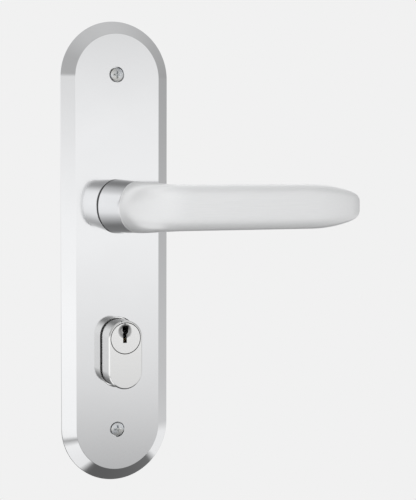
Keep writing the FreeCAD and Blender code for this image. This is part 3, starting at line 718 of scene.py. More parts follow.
def surface(finish, base, roughness, normal, metallic=1.0):
    """The shader and the output, with what varies linked in."""
    inputs = {"Base Color": base, "Roughness": roughness, "Normal": normal, "Metallic": metallic}
    shader = finish.node("ShaderNodeBsdfPrincipled", None, inputs)
    finish.node("ShaderNodeOutputMaterial", None, {"Surface": shader})


FINISHES_MADE = {}


def finish_named(name, make, tone):
    """A finish is made once and then shared by its pieces.

    Its material's name differs from those of the CAD's own materials.
    """
    if name not in FINISHES_MADE:
        FINISHES_MADE[name], finish = new_finish(name + "_finish")
        make(finish, finish.place(), tuple(tone))
    return FINISHES_MADE[name]


def polished_chrome(finish, place, tone):
    """Bright plating over a buffed casting: slight haze, upright buffing lines, a few fine scratches."""
    haze = finish.noise(place, 0.045, 3.0)
    lines = finish.noise(finish.stretched(place, (2.6, 2.6, 0.09)), 1.0, 3.0)
    grain = finish.noise(place, 5.0, 1.0)
    scratches = finish.noise(finish.stretched(place, (0.25, 1.0, 9.0)), 1.0, 2.0)
    scratched = finish.band(scratches, 0.66, 0.74)
    base = finish.between(haze, tinted(tone, 1.0), tinted(tone, 0.97))
    roughness = finish.band(haze, 0.3, 0.7, 0.06, 0.09) + 0.02 * scratched
    height = lines * 0.7 + grain * 0.3
    surface(finish, base, roughness, finish.bump(height, 0.0006))


def raw_casting(finish, place, tone):
    """The hollow side of the casting, where the plating is thin: grey, matt and a little pitted. On the left of
    the screws' recesses the same dark finish is painted shade.
    """
    skin = finish.noise(place, 0.35, 3.0)
    pits = finish.noise(place, 3.2, 4.0)
    base = finish.between(skin, tinted(tone, 0.34), tinted(tone, 0.46))
    roughness = 0.48 + 0.2 * pits
    surface(finish, base, roughness, finish.bump(pits, 0.012), metallic=0.8)


def satin_chrome(finish, place, tone):
    """Matt plating, blasted and then brushed along the lever: it scatters light almost as paint does."""
    brushing = finish.noise(finish.stretched(place, (0.11, 5.2, 5.2)), 1.0, 4.0)
    fine = finish.noise(finish.stretched(place, (0.5, 17.0, 17.0)), 1.0, 2.0)
    cloud = finish.noise(place, 0.06, 2.0)
    base = finish.between(brushing, tinted(tone, 0.93), tinted(tone, 1.04))
    roughness = 0.26 + 0.08 * brushing + 0.04 * cloud
    surface(finish, base, roughness, finish.bump(brushing * 0.6 + fine * 0.4, 0.003), metallic=0.4)


def round_plug(finish, place):
    """How far a point lies from the plug's axis, in millimetres, and a mask of the gap round its head, where the
    nickel is darkened as painted shade.

    The mask takes in both walls of the gap and starts a tenth of a millimetre behind the face.
    """
    sizes = bpy.context.scene.lever_set_cylinder
    x, y, z = finish.parts(place)
    up = z - PLUG_Z / MM
    radius = (x * x + up * up).square_root()
    head, face = sizes.plug_face_radius / MM, BODY_LOW.y / MM
    outside = head + sizes.plug_face_gap / MM
    past_head = finish.band(radius, head - 0.15, head - 0.05)
    before_rim = finish.band(radius, outside + 0.05, outside + 0.15, 1.0, 0.0)
    return radius, past_head * before_rim * finish.band(y, face + 0.04, face + 0.16)


def nickel(finish, place, tone):
    """Nickel on drawn brass with a fine grain and drawn lines, its sides darker than its face as painted shade,
    and the gap round the plug's head near black as painted shade.
    """
    drawn = finish.noise(finish.stretched(place, (5.5, 0.12, 5.5)), 1.0, 3.0)
    grain = finish.noise(place, 9.0, 2.0)
    cloud = finish.noise(place, 0.12, 2.0)
    y = finish.parts(place)[1]
    face = BODY_LOW.y / MM
    # Painted shade: from just behind the face, the sides are darkened to 0.79 of the tone
    sides = finish.band(y, face + 0.3, face + 0.7)
    base = finish.between(cloud, tinted(tone, 0.97), tinted(tone, 1.0))
    base = finish.between(sides, base, tinted(tone, 0.79))
    # Painted shade: the gap round the plug's head is darkened nearly to black
    gap_shade = round_plug(finish, place)[1]
    base = finish.between(gap_shade, base, tinted(tone, 0.1))
    roughness = 0.11 + 0.06 * drawn + 0.03 * cloud + 0.4 * gap_shade
    surface(finish, base, roughness, finish.bump(drawn * 0.6 + grain * 0.4, 0.0016))


def turned_nickel(finish, place, tone):
    """Nickel turned on a lathe: fine rings about the plug's axis, in the colour and the shine."""
    x, _, z = finish.parts(place)
    up = z - PLUG_Z / MM
    radius, gap_shade = round_plug(finish, place)
    wander = finish.noise(place, 0.5, 2.0)
    rings = (radius * 26.0 + wander * 3.0).sine() * 0.5 + 0.5
    dish = bpy.context.scene.lever_set_cylinder
    from_dish = x + dish.dish_offset / MM
    over_dish = up + (dish.keyway_floor - dish.keyway_height + dish.dish_drop) / MM
    away = (from_dish * from_dish + over_dish * over_dish).square_root()
    # Painted shade: the key's dish is darkened, fully within 0.72 of its radius and fading out at its edge
    dish_shade = finish.band(away, dish.dish_radius / MM * 0.72, dish.dish_radius / MM, 1.0, 0.0)
    base = finish.between(rings, tinted(tone, 0.95), tinted(tone, 1.0))
    base = finish.between(dish_shade * (0.6 + 0.4 * wander), base, tinted(tone, 0.36))
    # Painted shade: the gap round the head is darkened nearly to black
    base = finish.between(gap_shade, base, tinted(tone, 0.1))
    roughness = 0.11 + 0.04 * rings + 0.04 * wander + 0.16 * dish_shade + 0.4 * gap_shade
    surface(finish, base, roughness, finish.bump(rings, 0.0008))


def zinc_steel(finish, place, tone):
    """Blue-passivated zinc: a faint cool and warm drift over a slightly uneven coat."""
    drift = finish.noise(place, 0.22, 3.0)
    coat = finish.noise(place, 1.6, 4.0)
    cool, warm = tinted(tone, 0.97, 0.99, 1.02), tinted(tone, 1.01, 1.0, 0.96)
    base = finish.between(finish.band(drift, 0.35, 0.65), cool, warm)
    roughness = 0.34 + 0.1 * coat
    surface(finish, base, roughness, finish.bump(coat, 0.002))


def spring_steel(finish, place, tone):
    """Hardened steel: dark, oiled, with grinding marks and a straw tint here and there."""
    marks = finish.noise(finish.stretched(place, (3.0, 9.0, 3.0)), 1.0, 3.0)
    straw = finish.noise(place, 0.35, 2.0)
    warm = tinted(tone, 1.12, 1.0, 0.82)
    base = finish.between(finish.band(straw, 0.5, 0.75), tinted(tone, 1.0), warm)
    roughness = 0.26 + 0.14 * marks
    surface(finish, base, roughness, finish.bump(marks, 0.003))


def turned_brass(finish, place, tone):
    """Brass from the lathe: close rings along each pin and a little tarnish."""
    height = finish.parts(place)[2]
    rings = (height * 31.0).sine() * 0.5 + 0.5
    tarnish = finish.noise(place, 0.6, 3.0)
    base = finish.between(finish.band(tarnish, 0.4, 0.75), tinted(tone, 1.0), tinted(tone, 0.72))
    roughness = 0.18 + 0.06 * rings + 0.12 * tarnish
    surface(finish, base, roughness, finish.bump(rings, 0.0012))


def black_nylon(finish, place, tone):
    """Moulded nylon: near black, with the fine matt grain of the mould."""
    grain = finish.noise(place, 6.0, 3.0)
    flow = finish.noise(place, 0.3, 2.0)
    base = finish.between(flow, tinted(tone, 0.8), tinted(tone, 1.5))
    roughness = 0.42 + 0.14 * grain
    surface(finish, base, roughness, finish.bump(grain, 0.01), metallic=0.0)


# The record's slots, each with its finish and its colour's name
SLOT_FINISHES = {
    "polished_chrome": (polished_chrome, "polished"),
    "satin_chrome": (satin_chrome, "satin"),
    "nickel": (nickel, "nickel"),
    "zinc_steel": (zinc_steel, "zinc"),
    "spring_steel": (spring_steel, "steel"),
    "brass": (turned_brass, "brass"),
    "black_nylon": (black_nylon, "nylon"),
}


def slot_finish(slot):
    """The finish of one of the record's slots."""
    make, tone = SLOT_FINISHES[slot]
    return finish_named(slot, make, getattr(bpy.context.scene.lever_set_finishes, tone))


def dress_as(slot, piece, *nodes, sharp_degrees=35.0):
    """Dresses a piece in its slot's own finish."""
    return dress(piece, slot_finish(slot), slot, *nodes, sharp_degrees=sharp_degrees)


# Places that several pieces share
def screw_heights():
    """The fixing screws lie half their spacing above and below the plate's middle."""
    spacing = MOUNTS["through_screws"]["dims"]["spacing_y_mm"] * MM
    return [spacing / 2, -spacing / 2]


def post_places(plate):
    """The lid's three posts, spaced evenly round the lever's axis from straight above it, as (x, z)."""
    turn = np.radians([90.0, 210.0, 330.0])
    return list(zip(plate.post_circle * np.cos(turn), LEVER_Z + plate.post_circle * np.sin(turn)))


def middle_y(node):
    """How deep the middle of a CAD node lies."""
    low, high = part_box(node)
    return (low.y + high.y) / 2


def oval_outline(half_width, half_height, squareness):
    """A superellipse, as how far each point lies across and up.

    At angle t that is sign(cos t) |cos t|^(2 / squareness) half widths across, and
    sign(sin t) |sin t|^(2 / squareness) half heights up.
    """
    turn = circle_angles(128)
    power = 2 / squareness
    across = np.sign(np.cos(turn)) * np.abs(np.cos(turn)) ** power * half_width
    up = np.sign(np.sin(turn)) * np.abs(np.sin(turn)) ** power * half_height
    return across, up


def oval(centre, turn, half_depth, half_height, squareness):
    """Superellipses square to the lever's line, one for each row of the arrays given.

    Their depth is measured outwards, along (-cos turn, -sin turn, 0).
    """
    across, up = oval_outline(half_depth[:, None], half_height[:, None], squareness[:, None])
    outward = np.stack([-np.cos(turn), -np.sin(turn), np.zeros_like(turn)], axis=-1)
    points = centre[:, None] + across[..., None] * outward[:, None]
    points[..., 2] += up
    return points


def edge_inset(distance, edge):
    """How far a quarter circle of the edge's radius draws a side in, at a distance from its end."""
    near = np.clip(edge - distance, 0, edge)
    return edge - np.sqrt(np.maximum(edge ** 2 - near ** 2, 0))


def neck_points(sizes):
    """The neck from the plate to the seam, a straight taper with a rounded edge at each end."""
    edge = sizes.seam_edge
    turn = np.linspace(0, math.pi / 2, 7)
    ends = edge * (1 - np.cos(turn))
    total = COLLAR_HIGH.y - COLLAR_LOW.y
    along = np.concatenate([ends, np.linspace(edge * 1.5, total - edge * 1.5, 40), total - ends[::-1]])
    part = along / total
    inset = edge_inset(along, edge) + edge_inset(total - along, edge)
    width = sizes.neck_half_width + (sizes.seam_half_width - sizes.neck_half_width) * part - inset
    height = sizes.neck_half_height + (sizes.seam_half_height - sizes.neck_half_height) * part - inset
    centre = np.stack([0 * along, COLLAR_HIGH.y - along, LEVER_Z + sizes.seam_rise * part], axis=-1)
    return oval(centre, 0 * along, width, height, 0 * along + sizes.neck_squareness)


def arm_points(sizes):
    """The arm as one surface: the quarter turn of the elbow, the straight grip and the nose.

    In the elbow the neck's half sizes, rise and squareness run to the arm's by s^2 (3 - 2 s) of
    the turn's share s. On the nose the height loses R - sqrt(R^2 - d^2) at a distance d from its
    start, the depth its share of that, and both are drawn in by (1 - e^4)^(1/4) at the end.
    """
    arm_y = ARM_LOW.y + sizes.arm_half_depth
    radius = COLLAR_LOW.y - arm_y
    edge = sizes.seam_edge
    lead = edge * (1 - np.cos(np.linspace(0, math.pi / 2, 7))) / radius
    turn = np.concatenate([lead, np.linspace(lead[-1] * 1.5, math.pi / 2, 56)])
    part = turn / (math.pi / 2)
    eased = part * part * (3 - 2 * part)
    inset = edge_inset(turn * radius, edge)
    elbow = oval(
        np.stack([
            radius * (1 - np.cos(turn)), COLLAR_LOW.y - radius * np.sin(turn),
            LEVER_Z + sizes.seam_rise + (sizes.arm_rise - sizes.seam_rise) * eased,
        ], axis=-1),
        turn,
        sizes.seam_half_width + (sizes.arm_half_depth - sizes.seam_half_width) * eased - inset,
        sizes.seam_half_height + (sizes.arm_half_height - sizes.seam_half_height) * eased - inset,
        sizes.neck_squareness + (sizes.arm_squareness - sizes.neck_squareness) * eased,
    )
    nose_start = ARM_HIGH.x - sizes.nose_length
    end_start = ARM_HIGH.x - sizes.nose_end_length
    side = np.linspace(nose_start, end_start, 24)[:-1]
    end = end_start + sizes.nose_end_length * np.sin(np.linspace(0, math.pi / 2, 40))
    x = np.concatenate([np.linspace(radius, nose_start, 26)[1:-1], side, end])
    along = np.maximum(x - nose_start, 0)
    side_loss = sizes.nose_side_radius - np.sqrt(sizes.nose_side_radius ** 2 - along ** 2)
    end_part = np.clip((x - end_start) / sizes.nose_end_length, 0, 1)
    power = sizes.nose_end_roundness
    drawn_in = (1 - end_part ** power) ** (1 / power)
    grip = oval(
        np.stack([x, 0 * x + arm_y, 0 * x + LEVER_Z + sizes.arm_rise], axis=-1),
        0 * x + math.pi / 2,
        (sizes.arm_half_depth - side_loss * sizes.arm_half_depth / sizes.arm_half_height) * drawn_in,
        (sizes.arm_half_height - side_loss) * drawn_in,
        0 * x + sizes.arm_squareness,
    )
    return np.concatenate([elbow, grip])


def two_flat_bore(name, radius, half_width, start, end, height):
    """A round cutter with a flat on its left and its right."""
    reach = 2 * radius
    bore = drill(name, radius, start, end, (0, 0, height))
    slab = block("slab", (-half_width, start - MM, height - reach), (half_width, end + MM, height + reach))
    return combine(bore, [slab], "INTERSECT")


# The pieces, one operator for each or for each group of like ones
class LEVERSET_OT_backplate(bpy.types.Operator):
    """Makes the long backplate with its bevel, its holes and the ribs in its hollow"""
    bl_idname = "lever_set.backplate"
    bl_label = "Backplate"

    def execute(self, context):
        plate = context.scene.lever_set_plate
        spring = context.scene.lever_set_spring
        half_width = PLATE_HIGH.x
        half_straight = PLATE_HIGH.z - half_width
        rise = -FACE_Y - plate.edge_height
        pocket_y = FACE_Y + plate.wall
        slant = math.hypot(plate.bevel_width, rise)
        inset = plate.wall * slant / rise
        floor_radius = half_width - plate.bevel_width * (rise - plate.wall) / rise - inset
        rim_radius = half_width - plate.wall
        rim_y = pocket_y + (rim_radius - floor_radius) * rise / plate.bevel_width
        profile = [
            (0, FACE_Y), (half_width - plate.bevel_width, FACE_Y), (half_width, -plate.edge_height),
            (half_width, 0), (rim_radius, 0), (rim_radius, rim_y), (floor_radius, pocket_y), (0, pocket_y),
        ]
        crest, rim, foot = plate.crest_radius, plate.rim_radius, plate.foot_radius
        radii = [0, crest, rim, foot, foot, rim, crest, 0]
        piece = stadium("backplate", profile, radii, half_straight, 0.0, columns=192)
        combine(piece, self.stiffeners(plate, spring, pocket_y, floor_radius), "UNION")
        combine(piece, self.holes(plate, spring, pocket_y), "DIFFERENCE")
        dress_as("polished_chrome", piece, "cover_plate")
        self.leave_raw_and_shaded(piece, plate, context.scene.lever_set_finishes.polished)
        return {"FINISHED"}

    def leave_raw_and_shaded(self, piece, plate, tone):
        """Faces well inside the outer skin stay raw casting, and the left of each screw's recess takes the same
        dark finish as painted shade.

        The skin's radius at a depth is the half width less the bevel's share of what is left to the edge.
        """
        under_skin, under_face = 0.5 * MM, 0.4 * MM
        mesh = piece.data
        centres = np.empty(len(mesh.polygons) * 3)
        mesh.polygons.foreach_get("center", centres)
        x, y, z = centres.reshape(-1, 3).T
        normals = np.empty(len(mesh.polygons) * 3)
        mesh.polygons.foreach_get("normal", normals)
        faces_back = normals.reshape(-1, 3)[:, 1] > 0.5
        half_width = PLATE_HIGH.x
        beyond = np.maximum(np.abs(z) - (PLATE_HIGH.z - half_width), 0)
        from_edge = np.maximum(-plate.edge_height - y, 0) / (-FACE_Y - plate.edge_height)
        skin = half_width - plate.bevel_width * from_edge
        screw_z = screw_heights()[0]
        in_recess = np.hypot(x + plate.recess_shift, np.abs(z) - screw_z) < plate.recess_radius + EDGE
        in_recess &= (y < FACE_Y + plate.recess_depth + EDGE) & ~faces_back
        # Painted shade: the left of each screw's recess, where the gap round the head is widest, is left out here
        # and so takes the dark raw finish
        in_recess &= x > -plate.recess_radius / 2
        inside = (np.hypot(x, beyond) < skin - under_skin) & (y > FACE_Y + under_face) & ~in_recess
        mesh.materials.append(finish_named("raw_casting", raw_casting, tone))
        mesh.polygons.foreach_set("material_index", inside.astype(np.int32))

    def stiffeners(self, plate, spring, pocket_y, floor_radius):
        """Ribs and bosses that stand in the hollow, rooted half way into the wall."""
        root_y = FACE_Y + plate.wall / 2
        lid_low, lid_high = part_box("spring_cover")
        rim_reach = plate.cylinder_gap + plate.wall
        upper = LEVER_Z + (lid_high.x + plate.rib_width)
        lower = BODY_Z - ((BODY_HIGH.z - BODY_LOW.z) / 2 + rim_reach + plate.rib_width)
        rib = rectangle(floor_radius + plate.wall / 2, plate.rib_width / 2)
        tools = [
            prism("rib", rib, root_y, -plate.foot_radius, (0, 0, height))
            for height in (0.0, upper, (upper + screw_heights()[0]) / 2, lower)
        ]
        # Round ones, as (name, radius, end, rounding of the end, x, z, columns). The screws' bosses
        # end a hundredth of a millimetre before the door
        bearing_y = pocket_y + plate.bearing_height
        rounds = [("boss", plate.boss_radius, -MM / 100, 2 * EDGE, 0, z, 96) for z in screw_heights()]
        rounds += [("bearing", plate.bearing_radius, bearing_y, 0.15 * MM, 0, LEVER_Z, 96)]
        rounds += [("post", plate.post_radius, lid_low.y, EDGE, x, z, 48) for x, z in post_places(plate)]
        for name, radius, end, edge, x, z, columns in rounds:
            profile = ring_profile(0, radius, root_y, end)
            tools.append(lathe(name, profile, [0, 0, edge, 0], (x, 0, z), columns=columns))
        profile = ring_profile(0, BODY_HIGH.x + rim_reach, root_y, pocket_y + plate.cylinder_rim)
        tools.append(stadium("rim", profile, [0, 0, 2 * EDGE, 0], BODY_STRAIGHT, BODY_Z))
        anchor = spring.inner_radius + spring.half_turns * spring.pitch / 2 + spring.strip
        tools.append(block(
            "anchor", (anchor, root_y, LEVER_Z - 3 * spring.strip),
            (anchor + spring.tab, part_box("spring_driver")[1].y, LEVER_Z + 4 * spring.strip),
        ))
        return tools

    def holes(self, plate, spring, pocket_y):
        """The openings, with rounded edges where they show at the face."""
        gap = BODY_HIGH.x + plate.cylinder_gap
        profile = flared_profile(gap, FACE_Y, MM, plate.hole_edge)
        tools = [
            flared_hole("bush_hole", plate.bush_hole_radius, FACE_Y, MM, (0, 0, LEVER_Z), plate.hole_edge),
            stadium("cylinder_hole", profile, 0.0, BODY_STRAIGHT, BODY_Z),
        ]
        for height in screw_heights():
            tools.append(flared_hole(
                "recess", plate.recess_radius, FACE_Y, FACE_Y + plate.recess_depth,
                (-plate.recess_shift, 0, height), plate.hole_edge / 2,
            ))
            centre = (0, 0, height)
            tools.append(drill("screw_hole", plate.screw_hole_radius, FACE_Y, MM, centre, columns=64))
        for x, z in post_places(plate):
            tools.append(drill("post_hole", spring.lid_screw_radius, pocket_y, MM, (x, 0, z), columns=32))
        return tools


class LEVERSET_OT_lever(bpy.types.Operator):
    """Makes the satin lever with its elbow, its nose and the spigot in the plate"""
    bl_idname = "lever_set.lever"
    bl_label = "Lever"

    def execute(self, context):
        sizes = context.scene.lever_set_lever
        piece = poled("satin_lever", arm_points(sizes))
        ring_low, ring_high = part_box("retaining_ring")
        driver_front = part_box("spring_driver")[1].y - context.scene.lever_set_spring.driver_thickness
        spigot_end = ARM_HIGH.y
        outer, groove, edge = sizes.spigot_radius, sizes.spigot_groove, 0.12 * MM
        profile = [
            (0, COLLAR_LOW.y - MM), (outer, COLLAR_LOW.y - MM), (outer, ring_low.y), (groove, ring_low.y),
            (groove, ring_high.y), (outer, ring_high.y), (outer, spigot_end), (0, spigot_end),
        ]
        spigot = lathe("spigot", profile, [0, 0, edge, edge, edge, edge, 2 * edge, 0], (0, 0, LEVER_Z))
        combine(piece, [spigot], "UNION")
        half, socket_y = sizes.socket_half, FACE_Y - sizes.socket_depth
        tools = flats(sizes.spigot_flat, 2 * outer, driver_front, MM, LEVER_Z) + [
            block("socket", (-half, socket_y, LEVER_Z - half), (half, MM, LEVER_Z + half)),
            drill("grub_way", sizes.grub_radius + sizes.running_gap, -2 * outer, 0,
                  (0, middle_y("grub_screw"), LEVER_Z), axis="Z", columns=64),
        ]
        combine(piece, tools, "DIFFERENCE")
        dress_as("satin_chrome", piece, "lever_arm")
        return {"FINISHED"}


class LEVERSET_OT_collar(bpy.types.Operator):
    """Makes the bright sleeve on the lever's neck"""
    bl_idname = "lever_set.collar"
    bl_label = "Collar"

    def execute(self, context):
        sizes = context.scene.lever_set_lever
        piece = poled("neck_collar", neck_points(sizes))
        tools = [
            drill("bore", sizes.spigot_radius + sizes.running_gap, COLLAR_LOW.y - MM, COLLAR_HIGH.y + MM,
                  (0, 0, LEVER_Z)),
            drill("grub_way", sizes.grub_radius + sizes.grub_way_gap, -2 * sizes.neck_half_height, 0,
                  (0, middle_y("grub_screw"), LEVER_Z), axis="Z", columns=64),
        ]
        combine(piece, tools, "DIFFERENCE")
        dress_as("polished_chrome", piece, "lever_collar")
        return {"FINISHED"}


class LEVERSET_OT_bearing(bpy.types.Operator):
    """Makes the nylon bush, the thrust washer, the keyed driver and the snap ring"""
    bl_idname = "lever_set.bearing"
    bl_label = "Bearing"

    def execute(self, context):
        sizes = context.scene.lever_set_lever
        spring = context.scene.lever_set_spring
        axis = (0, 0, LEVER_Z)
        low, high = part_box("bearing_bush")
        bore = sizes.spigot_radius + sizes.running_gap
        wall = bore + sizes.bush_wall
        across, up = oval_outline(
            sizes.neck_half_width - sizes.bush_inset, sizes.neck_half_height - sizes.bush_inset,
            sizes.neck_squareness,
        )
        outline = np.stack([across, up], axis=1)
        bush = prism("nylon_bush", outline, low.y, low.y + sizes.bush_flange, axis, edge=EDGE)
        tube = lathe("tube", ring_profile(0, wall, low.y + EDGE, high.y), [0, 0, EDGE, 0], axis)
        combine(bush, [tube], "UNION")
        combine(bush, [drill("through", bore, low.y - MM, MM, axis)], "DIFFERENCE")
        dress_as("black_nylon", bush, "bearing_bush")

        low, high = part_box("thrust_washer")
        profile = ring_profile(sizes.spigot_radius + EDGE, high.x, low.y, high.y)
        washer = lathe("thrust_ring", profile, EDGE, axis, closed=True)
        dress_as("zinc_steel", washer, "thrust_washer")

        low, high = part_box("spring_driver")
        front = high.y - spring.driver_thickness
        profile = ring_profile(0, spring.driver_radius, front, high.y)
        driver = lathe("keyed_driver", profile, [0, EDGE, EDGE, 0], axis)
        # The lug's outline is an arc at its inner radius and another back at its outer one
        turn = np.radians(90) + spring.lug_half_angle * np.linspace(-1, 1, 9)
        ring = np.stack([np.cos(turn), np.sin(turn)], axis=1)
        lug = prism("lug", np.vstack([ring * spring.lug_inner, ring[::-1] * spring.lug_outer]),
                    low.y, high.y - EDGE, axis)
        combine(driver, [lug], "UNION")
        notch_x = spring.inner_radius - spring.tab - EDGE
        tools = [
            two_flat_bore(
                "bore", bore, sizes.spigot_flat + sizes.running_gap, front - MM, high.y + MM, LEVER_Z
            ),
            block("notch", (notch_x, front - MM, LEVER_Z - spring.strip - EDGE),
                  (spring.driver_radius + MM, high.y + MM, LEVER_Z + EDGE)),
        ]
        combine(driver, tools, "DIFFERENCE")
        dress_as("zinc_steel", driver, "spring_driver")

        low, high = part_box("retaining_ring")
        inner = sizes.spigot_groove + sizes.running_gap
        snap = split_ring("snap_ring", inner, high.x, low.y, high.y, LEVER_Z, spring.ring_mouth)
        dress_as("spring_steel", snap, "retaining_ring")
        return {"FINISHED"}


def split_ring(name, inner, outer, start, end, height, mouth):
    """A rounded flat section carried round a circle that is open downwards."""
    turn = np.linspace(-math.pi / 2 + mouth / 2, 1.5 * math.pi - mouth / 2, 97)
    out = np.stack([np.cos(turn), 0 * turn, np.sin(turn)], axis=-1)
    path = out * (inner + outer) / 2
    path[:, 1] = (start + end) / 2
    path[:, 2] += height
    section = rectangle((outer - inner) / 2, (end - start) / 2, EDGE)
    return carried(name, section, path, out)


class LEVERSET_OT_return_spring(bpy.types.Operator):
    """Makes the flat spiral that lifts the lever"""
    bl_idname = "lever_set.return_spring"
    bl_label = "Return spring"

    def execute(self, context):
        spring = context.scene.lever_set_spring
        low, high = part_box("return_spring")
        half, edge = spring.strip / 2, 0.12 * MM
        # A spiral of half circles, each half a pitch wider than the last. Every second one is centred
        # half a pitch to the right, so that their ends meet
        turn = np.linspace(0, math.pi * spring.half_turns, 48 * spring.half_turns + 1)
        stage = np.minimum((turn / math.pi).astype(int), spring.half_turns - 1)
        radius = spring.inner_radius + stage * spring.pitch / 2
        centre_x = np.where(stage % 2 == 0, 0.0, spring.pitch / 2)
        out = np.stack([np.cos(turn), 0 * turn, np.sin(turn)], axis=-1)
        path = out * radius[:, None]
        path[:, 0] += centre_x
        path[:, 1] = (low.y + high.y) / 2
        path[:, 2] += LEVER_Z
        section = rectangle(half, (high.y - low.y) / 2, edge)
        strip = carried("clock_spring", section, path, out)
        inner, outer = spring.inner_radius, spring.inner_radius + spring.half_turns * spring.pitch / 2
        tabs = [
            block("inner_tab", (inner - spring.tab, low.y, LEVER_Z - spring.strip),
                  (inner + half, high.y, LEVER_Z)),
            block("outer_tab", (outer - half, low.y, LEVER_Z),
                  (outer + spring.tab, high.y, LEVER_Z + spring.strip)),
        ]
        combine(strip, tabs, "UNION")
        dress_as("spring_steel", strip, "return_spring")
        return {"FINISHED"}


class LEVERSET_OT_spring_lid(bpy.types.Operator):
    """Makes the sheet lid over the return spring and its three slotted screws"""
    bl_idname = "lever_set.spring_lid"
    bl_label = "Spring lid"

    def execute(self, context):
        plate = context.scene.lever_set_plate
        spring = context.scene.lever_set_spring
        low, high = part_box("spring_cover")
        edge, screw_gap = 0.15 * MM, 0.05 * MM
        profile = ring_profile(spring.lid_hole, high.x, low.y, high.y)
        lid = lathe("spring_lid", profile, edge, (0, 0, LEVER_Z), closed=True, columns=160)
        places = post_places(plate)
        holes = [
            drill("hole", spring.lid_screw_radius + screw_gap, low.y - MM, MM, (x, 0, z), columns=32)
            for x, z in places
        ]
        combine(lid, holes, "DIFFERENCE")
        dress_as("zinc_steel", lid, "spring_cover")

        screw_low, screw_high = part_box("cover_screws")
        shank, head, head_edge = spring.lid_screw_radius, spring.lid_head_radius, 0.25 * MM
        slot_y, slot_half = screw_high.y - spring.lid_head_height / 2, spring.lid_slot / 2
        screws = []
        for x, z in places:
            screw = lathe("lid_screw", [
                (0, screw_low.y), (shank, screw_low.y), (shank, high.y), (head, high.y),
                (head, screw_high.y), (0, screw_high.y),
            ], [0, edge, 0, edge / 2, head_edge, 0], (x, 0, z), columns=64)
            slot = block("slot", (x - 2 * head, slot_y, z - slot_half), (x + 2 * head, MM, z + slot_half))
            screws.append(combine(screw, [slot], "DIFFERENCE"))
        dress_as("zinc_steel", joined("lid_screws", screws), "cover_screws")
        return {"FINISHED"}


class LEVERSET_OT_spindle(bpy.types.Operator):
    """Makes the square spindle and the grub screw that holds it in the neck"""
    bl_idname = "lever_set.spindle"
    bl_label = "Spindle and grub screw"

    def execute(self, context):
        sizes = context.scene.lever_set_lever
        low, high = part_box("spindle")
        half, cut = high.x, sizes.spindle_chamfer
        side_edge, end_edge = 0.35 * MM, 0.3 * MM
        corners = [
            (half - cut, -half), (half, -half + cut), (half, half - cut), (half - cut, half),
            (-half + cut, half), (-half, half - cut), (-half, -half + cut), (-half + cut, -half),
        ]
        outline = rounded(corners, side_edge, closed=True)
        bar = prism("square_spindle", outline, low.y, high.y, (0, 0, LEVER_Z), edge=end_edge)
        dress_as("zinc_steel", bar, "spindle", sharp_degrees=50)

        low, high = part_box("grub_screw")
        centre = (0, middle_y("grub_screw"), 0)
        chamfer, thread_depth = 0.45 * MM, 0.4 * MM
        radii, heights = thread_rows(
            sizes.grub_radius, thread_depth, sizes.grub_pitch, low.z + chamfer, high.z - chamfer, 48
        )
        inner = np.full((1, radii.shape[1]), sizes.grub_radius - chamfer)
        nothing = 0 * inner
        grub = turned(
            "set_screw", np.vstack([nothing, inner, radii, inner, nothing]),
            np.concatenate([[low.z, low.z], heights, [high.z, high.z]]), centre, axis="Z",
        )
        outline = circle_outline(sizes.grub_hex_flats / math.sqrt(3), 6)
        hexagon = prism("hexagon", outline, low.z - MM, low.z + sizes.grub_hex_depth, centre, axis="Z")
        combine(grub, [hexagon], "DIFFERENCE")
        dress_as("spring_steel", grub, "grub_screw")
        return {"FINISHED"}


